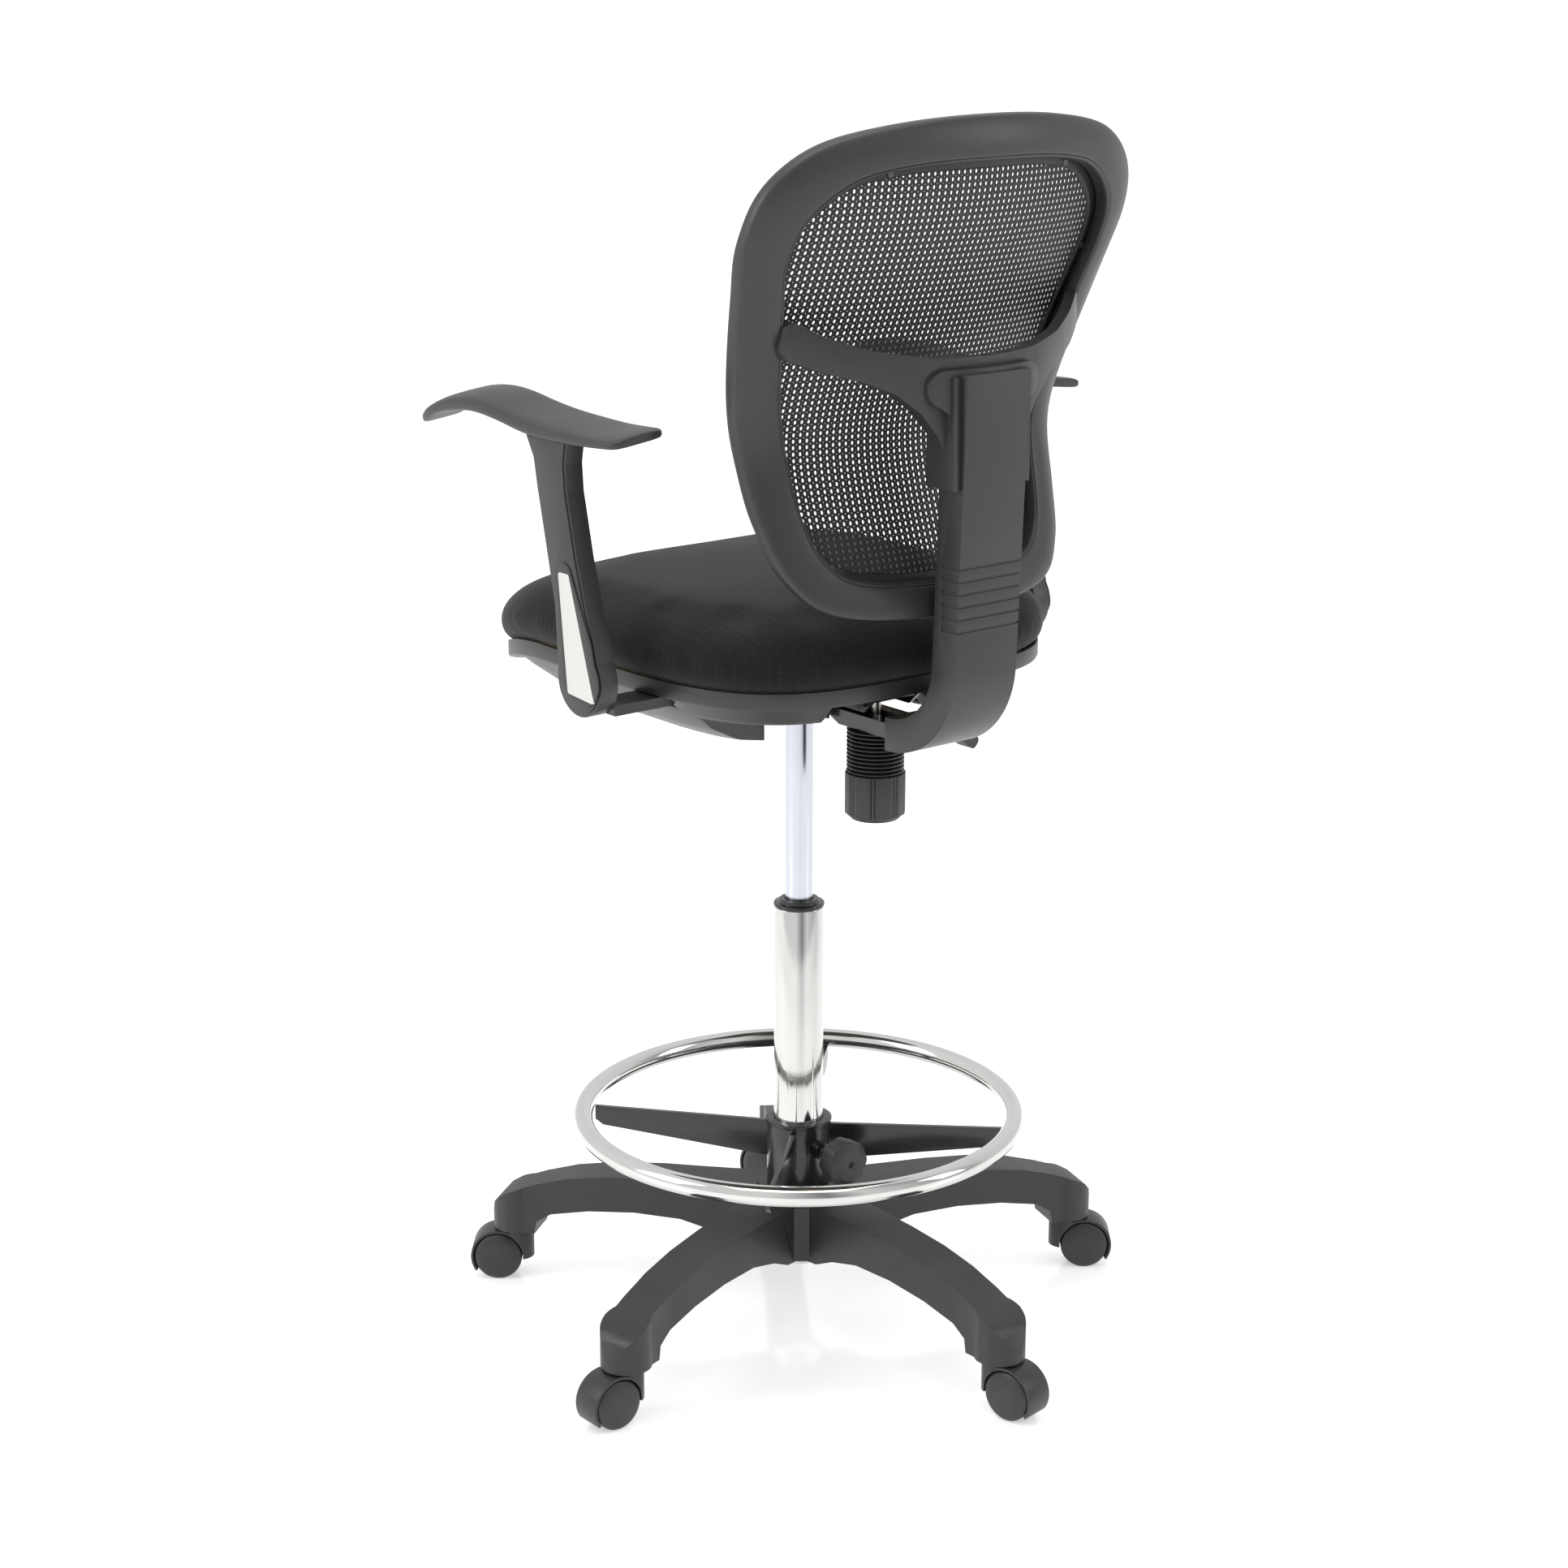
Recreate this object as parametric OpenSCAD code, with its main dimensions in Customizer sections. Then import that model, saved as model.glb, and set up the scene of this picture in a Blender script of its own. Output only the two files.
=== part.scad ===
// Drafting chair: five-arm base on twin-wheel casters, gas lift, foot ring, cushioned seat,
// T armrests and a tilting mesh back.
// +Z is up, the sitter faces -Y, +X is the sitter's left. The column's axis meets the floor at the origin.

/* [Base] */
// Radius of the circle of caster pivots
base_r = 306; // [260:1:380]
// Width of an arm of the base
leg_w = 46; // [38:1:54]
// Diameter of the base's hub
hub_d = 84; // [74:1:100]
// Height of the hub's top face
hub_top = 140; // [130:1:160]

/* [Casters] */
// Diameter of a wheel
wheel_d = 50; // [42:1:56]
// Width of one wheel
wheel_w = 17; // [14:0.5:20]
// Distance that the axle trails behind the pivot
trail = 20; // [16:0.5:24]

/* [Column] */
// Diameter of the chromed column tube
tube_d = 50; // [44:1:58]
// Diameter of the piston tube
piston_d = 28; // [24:1:32]
// Height of the column tube's top
tube_top = 436; // [396:5:476]

/* [Foot ring] */
// Diameter of the ring, to the centre of its bar
ring_d = 440; // [360:2:520]
// Diameter of the ring's bar
ring_bar_d = 20; // [16:1:25]
// Height of the ring's centre line
ring_z = 214; // [212:1:230]

/* [Seat] */
// Width of the seat's rim
seat_w = 434; // [380:2:500]
// Depth of the seat's rim, front to back
seat_l = 480; // [420:2:500]
// Height of the seat's rim above the floor
seat_z = 712; // [702:1:730]
// Thickness of the cushion above the rim
cushion_h = 64; // [50:1:74]

/* [Armrests] */
// Height of the pad's top above the seat's rim
arm_h = 240; // [210:2:290]
// Width of the pad
pad_w = 62; // [56:1:80]
// Thickness of the post, side to side
post_t = 22; // [18:1:28]

/* [Back] */
// Greatest width of the back frame
back_w = 454; // [400:2:520]
// Height of the back frame
back_h = 455; // [420:5:500]
// Height of the back frame's lower edge above the seat's rim
back_rise = 64; // [60:1:80]
// Radius to which the back curves around the sitter
back_r = 480; // [400:10:900]

/* [Mechanism] */
// Width of the spine's cover
spine_w = 76; // [70:1:88]
// Diameter of the tension knob
knob_d = 59; // [50:1:64]

/* [Hidden] */
$fn = 64;
eps = 0.01;
run = 0.05;             // radial clearance of a running fit
gap = 0.3;              // clearance between parts that only lie close

black = "#33332f";
soft_black = "#1b1a19";
steel_black = "#222222";
chrome = "#d8dadb";
silver = "#d6d8d4";
steel = "#8b8d8f";

// Casters: the pivots' bearings around +Z and the way each caster trails at rest, numbered around the base
leg_turn = [for (i = [0:4]) 72 * i - 54];
trail_turn = [-40, 0, 100, 140, -80];
axle_z = wheel_d / 2;
wheel_y = 2.4;          // from the caster's mid plane to a wheel's inner face
axle_r = 3;
stem_r = 5.5;
stem_top = 90;
leg_foot_z = 56;        // underside of an arm's end
hub_foot = 70;          // underside of the hub
web_r = 60;             // radius of the web between two arms
leg_wall = 5;

// Column
tube_r = tube_d / 2;
tube_wall = 2;
tube_foot = 56;
taper_top = 140;
piston_r = piston_d / 2;
piston_wall = 2;
rod_r = 5;
collar_h = 8;
cyl_foot = 258;
socket_z = seat_z - 72;
cyl_top = seat_z - 26;
piston_z = 335;         // the piston's underside on the fixed rod
bearing_z = 60;
bearing_h = 8;
pin_r = 4;
pin_top = cyl_top + 6;

// Foot ring
ring_r = ring_d / 2;
bush_r = tube_r + run;
bush_wall = 3;
ring_hub_r = bush_r + bush_wall + 4;
ring_hub_foot = hub_top + 2;
ring_hub_top = ring_z - 8;
blade_t = 5;
blade_turn = 42.5;        // bearing of the first blade around +Z
stud_turn = 87.5;
stud_z = ring_hub_foot + 42;
stud_r = 5;
knob_lobe_r = 24;
knob_reach = 66;        // from the column's axis to the knob's inner face

// Seat
seat_y = -46;           // centre of the seat's rim
front_y = -130;         // ahead of this the seat curves down
band_h = 16;
bowl_h = 74;
lobe_rear = 75;         // behind this the shell is shallow
shallow_h = 37;
shell_wall = 3;
pan_t = 10;
pan_z = seat_z - pan_t - 2;
mech_top = pan_z;
mech_w = 60;
mech_bolts = [[85, 65], [85, -95], [-85, 65], [-85, -95]];

// Armrests
post_x = seat_w / 2 + 46;
post_out = post_x + post_t;
arm_z = pan_z - 15;
bar_h = 10;
bar_y = [16, 52];
bar_mid = (bar_y[0] + bar_y[1]) / 2;
boss_x = [116, 150];
post_foot = [23, seat_z + 4];
post_foot_r = 34;
pad_top = seat_z + arm_h;
pad_x = post_out - 57;
pad_tilt = 7;           // degrees that the pad falls to the outside

// Tilt mechanism and spine
tilt_y = 62;
tilt_z = seat_z - 50;
tilt_pin_r = 6;
bar_w = 44;
bar_t = 8;
spine_t = 32;
spine_rear = 268.5;      // rear face of the spine just above its bend
spine_foot = seat_z - 72;
back_z = seat_z + back_rise;
spine_top = back_z + 0.514 * back_h;
spine_lean = 2.3;       // degrees that the spine leans back
spine_yoke = 258;       // middle of the crossbar's thickness on the centre line
bend_r = 92;            // outer radius of the bend
bend_z = spine_foot + bend_r;
bend_y = spine_rear - bend_r;
spine_end = 172;
cover_wall = 4;
groove_n = 6;
groove_pitch = 11.8;
groove_z = back_z - 7;
groove_d = 1.2;
leaf_r = 17;
knob_y = 115;
tension_r = 5;
knob_h = 46;
bellows_top = spine_foot + 5;
bellows_h = 44;
knob_top = bellows_top - bellows_h - gap;
knob_foot = knob_top - knob_h;
bellows_r = 28;
bellows_n = 11;
sleeve_h = 108;
sleeve_wall = 8;
lock_y = 131;
lock_z = seat_z - 34;
lock_r = 4;
lever_x = -45;
lever_z = seat_z - 21.5;
lever_drop = 13.5;

// Back
flange = 1.22;          // inner edge of the mesh carrier, as a share of the frame's width from its rim
waist_z = back_z + 159;          // height at which the back reaches furthest forward
waist_y = 184;
// Half outlines of the frame's rim and opening from the top centre down: shares of the half width and the height
RIM = [[0, 1], [0.41, 0.99], [0.742, 0.956], [0.939, 0.881], [1, 0.778], [0.965, 0.657],
    [0.9, 0.492], [0.83, 0.338], [0.795, 0.207], [0.72, 0.092], [0.533, 0.022], [0, 0]];
OPENING = [[0, 0.914], [0.371, 0.908], [0.62, 0.882], [0.782, 0.815], [0.825, 0.735], [0.785, 0.635],
    [0.715, 0.481], [0.652, 0.338], [0.625, 0.22], [0.57, 0.136], [0.42, 0.085], [0, 0.068]];
steps = 4;              // points laid along each stretch of an outline

// ---- Outlines and sweeps ----

function mirrored(h) = concat(h, [for (i = [len(h) - 2:-1:1]) [-h[i][0], h[i][1]]]);

// Closed smooth curve through the points of p
function smooth(p, n) = [for (i = [0:len(p) - 1], k = [0:n - 1])
    let (a = p[(i + len(p) - 1) % len(p)], b = p[i], c = p[(i + 1) % len(p)], d = p[(i + 2) % len(p)], t = k / n)
    (2 * b + (c - a) * t + (2 * a - 5 * b + 4 * c - d) * t * t + (3 * b - a - 3 * c + d) * t * t * t) / 2];

function placed(p) = [for (q = p) [q[0] * back_w / 2, back_z + q[1] * back_h]];

// How far back the back's surface lies at height z, on the centre line
function lean(z) = let (d = z - waist_z)
    d > 0 ? waist_y + 0.455 * (sqrt(d * d + 1600) - 40) - 0.003 * pow(max(0, z - waist_z - 185), 2)
    : waist_y + 0.38 * (sqrt(d * d + 1600) - 40);
function surf_y(x, z) = lean(z) - x * x / (2 * back_r);

rim_pts = placed(smooth(mirrored(RIM), steps));
open_pts = placed(smooth(mirrored(OPENING), steps));

// A point at share s from the rim to the opening, d behind the back's surface
function across(i, s, d) = let (q = rim_pts[i] + (open_pts[i] - rim_pts[i]) * s)
    [q[0], surf_y(q[0], q[1]) + d, q[1]];

// Closed ring that carries a section of [share, depth] points around the back
module back_ring(section) {
    n = len(rim_pts);
    m = len(section);
    points = [for (i = [0:n - 1], s = section) across(i, s[0], s[1])];
    sides = [for (i = [0:n - 1], j = [0:m - 1])
        let (a = i * m + j, b = i * m + (j + 1) % m, c = ((i + 1) % n) * m + (j + 1) % m, d = ((i + 1) % n) * m + j)
        each [[a, b, c], [a, c, d]]];
    polyhedron(points, sides, convexity = 6);
}

// Thin sheet that fills the outline at share s, between depths d0 and d1
module back_sheet(s, d0, d1) {
    n = len(rim_pts);
    rings = 5;
    mid = [0, back_z + back_h * 0.52];
    function spot(i, k, d) = let (e = across(i, s, 0), q = mid + ([e[0], e[2]] - mid) * k / rings)
        [q[0], surf_y(q[0], q[1]) + d, q[1]];
    top = [for (k = [1:rings], i = [0:n - 1]) spot(i, k, d1)];
    low = [for (k = [1:rings], i = [0:n - 1]) spot(i, k, d0)];
    count = rings * n;
    points = concat(top, low, [[mid[0], surf_y(mid[0], mid[1]) + d1, mid[1]],
        [mid[0], surf_y(mid[0], mid[1]) + d0, mid[1]]]);
    bands = [for (k = [0:rings - 2], i = [0:n - 1])
        let (j = (i + 1) % n, a = k * n + i, b = k * n + j, c = (k + 1) * n + j, d = (k + 1) * n + i)
        each [[a, b, c], [a, c, d], [count + a, count + c, count + b], [count + a, count + d, count + c]]];
    caps = [for (i = [0:n - 1]) let (j = (i + 1) % n)
        each [[2 * count, j, i], [2 * count + 1, count + i, count + j]]];
    edge = [for (i = [0:n - 1]) let (j = (i + 1) % n, o = (rings - 1) * n)
        each [[o + i, o + j, count + o + j], [o + i, count + o + j, count + o + i]]];
    polyhedron(points, concat(bands, caps, edge), convexity = 4);
}

// Rounded rectangle with its centre at the origin
module rounded(w, l, r) {
    offset(r) square([w - 2 * r, l - 2 * r], center = true);
}

// Extrudes a [y, z] outline along X, from x0 to x1
module along_x(x0, x1) {
    translate([x0, 0, 0]) rotate([90, 0, 90]) linear_extrude(x1 - x0) children();
}

// Extrudes an [x, z] outline along Y, from y0 to y1
module along_y(y0, y1) {
    translate([0, y1, 0]) rotate([90, 0, 0]) linear_extrude(y1 - y0) children();
}

module tube(r_out, r_in, z0, z1) {
    translate([0, 0, z0]) difference() {
        cylinder(r = r_out, h = z1 - z0);
        translate([0, 0, -1]) cylinder(r = r_in, h = z1 - z0 + 2);
    }
}

module on_both_sides() {
    children();
    mirror([1, 0, 0]) children();
}

// ---- Base ----

module column_taper(extra) {
    translate([0, 0, tube_foot]) cylinder(r1 = tube_r - 1 + extra, r2 = tube_r + extra, h = taper_top - tube_foot);
}

// Side view of one arm: distance from the axis against height
module leg_side() {
    k = base_r / 306;
    t = hub_top - 140;
    polygon([[0, 134 + t], [62, 134 + t], [100 * k, 133.5 + t], [150 * k, 132.4 + t], [200 * k, 129 + t * 0.8], [244 * k, 122 + t * 0.6],
        [base_r - 28, 112 + t * 0.4], [base_r, 101.5 + t * 0.2], [base_r + 12, 95], [base_r + 20, 86], [base_r + 23, 74],
        [base_r + 30, leg_foot_z], [base_r - 25.5, leg_foot_z], [base_r - 28, 70], [base_r - 44, 80],
        [220 * k, 88.5], [170 * k, 93], [120 * k, 92], [85 * k, 84], [62, hub_foot + 4], [0, hub_foot + 4]]);
}

// Space inside one arm, open below, with two cross ribs
module leg_hollow() {
    k = base_r / 306;
    t = hub_top - 140;
    top = [[50, 128 + t], [100 * k, 127.5 + t], [150 * k, 126 + t], [200 * k, 122.5 + t * 0.8], [244 * k, 115.5 + t * 0.6],
        [base_r - 31, 106 + t * 0.4]];
    w = leg_w / 2 - leg_wall;
    for (x = [[66, 108 * k], [112 * k, 172 * k], [176 * k, base_r - 31]]) intersection() {
        rotate([90, 0, 0]) translate([0, 0, -40]) linear_extrude(80) polygon(concat(top, [[base_r - 31, 0], [50, 0]]));
        translate([0, 0, 10]) linear_extrude(200) polygon([[x[0], w], [x[1], w - (x[1] > 250 ? 2 : 0)],
            [x[1], (x[1] > 250 ? 2 : 0) - w], [x[0], -w]]);
    }
}

module leg_plan() {
    w = leg_w / 2;
    polygon([[0, w + 10], [50, w + 6], [75, w + 3], [110, w + 1], [160, w], [base_r - 50, w - 2], [base_r - 4, w - 2],
        [base_r - 4, 2 - w], [base_r - 50, 2 - w], [160, -w], [110, -w - 1], [75, -w - 3], [50, -w - 6], [0, -w - 10]]);
    translate([base_r, 0]) circle(w + 2);
}

module base_star() {
    color(black) difference() {
        union() {
            translate([0, 0, hub_foot]) cylinder(r = hub_d / 2, h = hub_top - hub_foot);
            translate([0, 0, hub_foot + 5]) cylinder(r = web_r, h = hub_top - 12 - hub_foot);
            for (a = leg_turn) rotate([0, 0, a]) intersection() {
                rotate([90, 0, 0]) translate([0, 0, -40]) linear_extrude(80) leg_side();
                translate([0, 0, 40]) linear_extrude(200) leg_plan();
            }
        }
        column_taper(0);
        translate([0, 0, taper_top - eps]) cylinder(r = tube_r, h = 60);
        for (a = leg_turn) rotate([0, 0, a]) {
            translate([base_r, 0, leg_foot_z - 1]) cylinder(r = stem_r + run, h = stem_top + 2 - leg_foot_z);
            leg_hollow();
        }
    }
}

module column_tube() {
    color(chrome) difference() {
        union() {
            column_taper(0);
            translate([0, 0, taper_top]) cylinder(r = tube_r, h = tube_top - taper_top);
        }
        translate([0, 0, bearing_z]) cylinder(r = tube_r - tube_wall - 1, h = tube_top);
        translate([0, 0, tube_foot - 1]) cylinder(r = rod_r + run, h = 10);
    }
}

// Plastic guide that lines the tube's mouth and carries the piston tube
module guide_collar() {
    color(steel_black) difference() {
        union() {
            translate([0, 0, tube_top - 130]) cylinder(r = tube_r - tube_wall - 1, h = 130);
            translate([0, 0, tube_top]) cylinder(r = tube_r + 0.6, h = collar_h / 2);
            translate([0, 0, tube_top]) cylinder(r = tube_r - 5, h = collar_h);
        }
        translate([0, 0, tube_top - 131]) cylinder(r = piston_r + run, h = 132 + collar_h);
    }
}

module thrust_bearing() {
    color(steel) tube(16, rod_r + run, bearing_z, bearing_z + bearing_h);
}

// Spring clip in the rod's groove, under the column's floor
module retaining_clip() {
    color(steel) difference() {
        tube(9, rod_r - 1, tube_foot - 2.2, tube_foot - 0.6);
        translate([0, -2, tube_foot - 3]) cube([12, 4, 3]);
    }
}

module piston_rod() {
    color(steel) difference() {
        union() {
            translate([0, 0, tube_foot - 5]) cylinder(r = rod_r, h = piston_z + 5 - tube_foot);
            translate([0, 0, bearing_z + bearing_h + 0.2]) cylinder(r = 12, h = 5);
            translate([0, 0, piston_z]) cylinder(r = piston_r - piston_wall - run, h = 16);
        }
        tube(9, rod_r - 1, tube_foot - 2.2, tube_foot - 0.6);
    }
}

// ---- Foot ring ----

module ring_tube() {
    color(chrome) translate([0, 0, ring_z]) rotate_extrude($fn = 128) translate([ring_r, 0]) circle(d = ring_bar_d);
}

module ring_hub() {
    blade_end = ring_r - ring_bar_d / 2 + 1;
    color(steel_black) difference() {
        union() {
            translate([0, 0, ring_hub_foot]) cylinder(r = ring_hub_r, h = ring_hub_top - ring_hub_foot);
            for (i = [0:3]) rotate([0, 0, blade_turn + 90 * i]) rotate([90, 0, 0])
                translate([0, 0, -blade_t / 2]) linear_extrude(blade_t)
                polygon([[ring_hub_r - 4, ring_z - 10], [blade_end, ring_z - 5], [blade_end, ring_z - 19],
                    [blade_end - 8, ring_z - 25], [ring_hub_r - 4, ring_z - 49]]);
            rotate([0, 0, stud_turn]) translate([ring_hub_r - 2, 0, stud_z]) rotate([0, 90, 0])
                cylinder(r = 9, h = 12);
        }
        translate([0, 0, ring_hub_foot - 1]) cylinder(r = bush_r + bush_wall + run, h = 200);
        translate([0, 0, ring_z]) rotate_extrude($fn = 128) translate([ring_r, 0]) circle(d = ring_bar_d);
        rotate([0, 0, stud_turn]) translate([tube_r, 0, stud_z]) rotate([0, 90, 0])
            cylinder(r = stud_r + run, h = 40);
    }
}

// Split plastic bush with a flange, between the column and the ring's hub
module ring_bush() {
    color(soft_black) difference() {
        union() {
            translate([0, 0, ring_hub_foot]) cylinder(r = bush_r + bush_wall, h = ring_hub_top - ring_hub_foot);
            translate([0, 0, ring_hub_top + gap / 2]) cylinder(r = ring_hub_r + 2, h = 4);
            translate([0, 0, ring_hub_top - 1]) cylinder(r = bush_r + bush_wall, h = 2);
        }
        translate([0, 0, ring_hub_foot - 1]) cylinder(r = bush_r, h = 100);
        rotate([0, 0, stud_turn + 180]) translate([0, -1.5, ring_hub_foot - 1]) cube([50, 3, 100]);
    }
}

// Lobed clamp knob on its threaded stud, which presses the bush against the column
module ring_knob() {
    color(steel_black) rotate([0, 0, stud_turn]) translate([0, 0, stud_z]) rotate([0, 90, 0]) {
        translate([0, 0, bush_r + bush_wall + gap]) cylinder(r = stud_r, h = knob_reach - bush_r - bush_wall);
        difference() {
            union() {
                translate([0, 0, knob_reach]) linear_extrude(18) polygon([for (a = [0:5:355])
                    let (r = knob_lobe_r - 0.8 * (1 - cos(8 * a))) [r * cos(a), r * sin(a)]]);
                translate([0, 0, knob_reach - 6]) cylinder(r1 = 9, r2 = knob_lobe_r - 6, h = 6 + eps);
                translate([0, 0, knob_reach + 18 - eps]) cylinder(r1 = knob_lobe_r - 3, r2 = knob_lobe_r - 7, h = 4);
            }
            translate([0, 0, knob_reach + 19]) cylinder(r = 3, h = 5);
        }
    }
}

// ---- Gas lift's moving half ----

module gas_cylinder() {
    color(chrome) difference() {
        union() {
            translate([0, 0, cyl_foot]) cylinder(r = piston_r, h = socket_z - cyl_foot);
            translate([0, 0, socket_z]) cylinder(r1 = piston_r, r2 = piston_r - 1, h = cyl_top - socket_z);
        }
        translate([0, 0, cyl_foot + 12]) cylinder(r = piston_r - piston_wall, h = cyl_top - cyl_foot - 40);
        translate([0, 0, cyl_foot - 1]) cylinder(r = rod_r + run, h = 20);
        translate([0, 0, cyl_top - 30]) cylinder(r = pin_r + run, h = 40);
    }
}

module release_pin() {
    color(steel) translate([0, 0, pin_top - 26]) cylinder(r = pin_r, h = 26);
}

// ---- Seat mechanism ----

module mechanism_body() {
    w = mech_w / 2;
    color(steel_black) difference() {
        union() {
            translate([-100, -110, mech_top - 3]) cube([200, 190, 3]);
            for (x = [-w, w - 3]) along_x(x, x + 3) polygon([[-90, mech_top - 2], [-90, mech_top - 16],
                [-70, mech_top - 34], [50, mech_top - 50], [78, mech_top - 50], [78, mech_top - 2]]);
            translate([-w, -90, mech_top - 16]) cube([2 * w, 3, 14]);
            translate([0, 0, socket_z - 10]) cylinder(r = 23, h = 40);
            translate([-w, -24, mech_top - 34]) cube([2 * w, 48, 4]);
            for (y = [-12.5, 9.5]) translate([lever_x - 4, y, lever_z - 4]) cube([8, 3, mech_top - lever_z + 2]);
            translate([lever_x, 12.5, lever_z]) rotate([90, 0, 0]) cylinder(r = 2, h = 25);
        }
        translate([0, 0, socket_z - 20]) cylinder(r = piston_r, h = 20 + eps);
        translate([0, 0, socket_z]) cylinder(r1 = piston_r, r2 = piston_r - 1, h = cyl_top - socket_z);
        translate([-50, tilt_y, tilt_z]) rotate([0, 90, 0]) cylinder(r = tilt_pin_r, h = 100);
        translate([-w - 1, -8, mech_top - 13]) cube([5, 16, 9]);
        for (p = mech_bolts) translate([p[0], p[1], mech_top - 4]) cylinder(r = 4, h = 6);
    }
}

module tilt_pivot_pin() {
    color(steel) translate([-mech_w / 2 - 4, tilt_y, tilt_z]) rotate([0, 90, 0]) {
        cylinder(r = tilt_pin_r, h = mech_w + 8);
        translate([0, 0, -2]) cylinder(r = tilt_pin_r + 3, h = 2);
        translate([0, 0, mech_w + 8]) cylinder(r = tilt_pin_r + 3, h = 2);
    }
}

// Pressed bracket behind the mechanism that holds the tension bolt's head and the tilt lock's shaft
module tilt_bracket() {
    w = mech_w / 2;
    z = mech_top - 3;
    color(steel_black) difference() {
        union() {
            translate([-w, 78, z - 3]) cube([2 * w, 66, 3]);
            translate([5 - w, 30, z - 3]) cube([2 * w - 10, 49, 3]);
            for (x = [-w, w - 3]) along_x(x, x + 3)
                polygon([[78, z - 1], [78, z - 16], [92, z - 30], [132, z - 30], [144, z - 19], [144, z - 1]]);
            along_y(141, 144) polygon([[-w, z - 1], [-w, z - 14], [8 - w, z - 19], [w - 8, z - 19],
                [w, z - 14], [w, z - 1]]);
        }
        translate([0, knob_y, z - 4]) cylinder(r = tension_r, h = 8);
        translate([-50, lock_y, lock_z]) rotate([0, 90, 0]) cylinder(r = lock_r, h = 100);
    }
    color("#8a6a4a") translate([-w - 6, lock_y, lock_z]) rotate([0, 90, 0]) {
        cylinder(r = lock_r, h = 2 * w + 6);
        translate([0, 0, 2 * w + 6]) cylinder(r = 8, h = 5, $fn = 6);
    }
}

module mechanism_bolts() {
    color(steel) for (p = mech_bolts) translate([p[0], p[1], 0]) {
        translate([0, 0, mech_top - 3]) cylinder(r = 4, h = 3 + pan_t);
        translate([0, 0, mech_top - 8]) cylinder(r = 7, h = 5, $fn = 6);
    }
}

// ---- Seat ----

// The seat's front curves down ahead of front_y
function dip(y) = -0.0018 * pow(max(0, front_y - y), 2);

// Ring of points at height z around the seat, drawn in by d; k says how much of the front's curve it follows
function seat_ring(d, z, k) = let (w = seat_w / 2 - d, l = seat_l / 2 - d, n = 2 / 3.5)
    [for (a = [0:6:354]) let (x = w * sign(cos(a)) * pow(abs(cos(a)), n), y = seat_y + l * sign(sin(a)) * pow(abs(sin(a)), n))
        [x, y, z + k * dip(y)]];

// Solid through a stack of rings, closed at both ends
module loft(rings) {
    m = len(rings[0]);
    n = len(rings);
    walls = [for (i = [0:n - 2], j = [0:m - 1]) let (a = i * m + j, b = i * m + (j + 1) % m)
        each [[a, a + m, b], [b, a + m, b + m]]];
    // both ends are closed in strips from side to side, so they follow the front's curve
    function strip(j) = [(j + m) % m, (j + m + 1) % m, (m / 2 - j - 1) % m, (m / 2 - j) % m];
    ends = [for (j = [-m / 4:m / 4 - 1]) let (q = strip(j)) each
        [if (q[1] != q[2]) [q[0], q[1], q[2]], if (q[0] != q[3]) [q[0], q[2], q[3]]]];
    lid = [for (e = ends) [for (i = [2:-1:0]) (n - 1) * m + e[i]]];
    polyhedron([for (r = rings) each r], concat(walls, ends, lid), convexity = 6);
}

// Outer rings of the underside cover from its foot up to its band; t moves them inwards
function bowl(t) = let (foot = seat_z - bowl_h, band = seat_z - band_h)
    [seat_ring(100, foot + t, 0.2), seat_ring(68 + t, foot + 8 + t, 0.35), seat_ring(40 + t, foot + 24 + t * 0.7, 0.5),
    seat_ring(22 + t, foot + 42 + t * 0.3, 0.8), seat_ring(10 + t, band + t, 1)];

// Underside cover: a raised band, a deep bowl ahead of lobe_rear and a shallow one behind it
module seat_shell() {
    band = seat_z - band_h;
    foot = seat_z - bowl_h;
    low = foot - 20;
    t = shell_wall;
    inner = bowl(t);
    color(black) difference() {
        union() {
            loft(concat(bowl(0), [seat_ring(1, band, 1), seat_ring(0, band + 2, 1), seat_ring(0, seat_z, 1),
                seat_ring(t, seat_z, 1), seat_ring(t, band + t, 1)], [for (i = [4:-1:0]) inner[i]]));
            intersection() {
                loft(concat(bowl(0), [seat_ring(20, seat_z - 14, 1)]));
                union() {
                    translate([-250, lobe_rear - t, low]) cube([500, t, band - low - 2]);
                    translate([-250, lobe_rear - t, seat_z - shallow_h]) cube([500, 200, t]);
                }
            }
        }
        translate([-250, lobe_rear, low]) cube([500, 200, seat_z - shallow_h - low]);
        translate([-105, -125, low]) cube([210, 400, band - low - 2]);
        translate([-250, bar_y[0] - 2, arm_z - 2]) cube([500, bar_y[1] - bar_y[0] + 4, band - arm_z + 2 - eps]);
        translate([-250, -20, low]) cube([200, 40, band - low - eps]);
    }
}

// Bent plywood that carries the cushion and takes every bolt
module seat_pan() {
    color("#b08a5a") difference() {
        loft([seat_ring(14, pan_z, 1), seat_ring(14, pan_z + pan_t, 1)]);
        for (p = mech_bolts) translate([p[0], p[1], pan_z - 1]) cylinder(r = 4, h = pan_t + 2);
        for (s = [-1, 1], x = boss_x) translate([s * x, bar_mid, pan_z - 1]) cylinder(r = 4, h = pan_t + 2);
    }
}

module seat_cushion() {
    foot = seat_z + gap;
    h = cushion_h;
    color(soft_black) loft([seat_ring(5, foot, 1), seat_ring(-2, foot + h * 0.08, 1), seat_ring(-7, foot + h * 0.25, 1),
        seat_ring(-8, foot + h * 0.42, 1), seat_ring(-4, foot + h * 0.6, 1), seat_ring(5, foot + h * 0.76, 1),
        seat_ring(22, foot + h * 0.88, 1), seat_ring(50, foot + h * 0.95, 1), seat_ring(110, foot + h, 1)]);
}

// ---- Armrests ----

module side_bolt() {
    translate([post_x - 4, bar_y[0] + 20, arm_z + bar_h / 2]) rotate([0, 90, 0]) cylinder(r = 3, h = 16);
}

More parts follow.
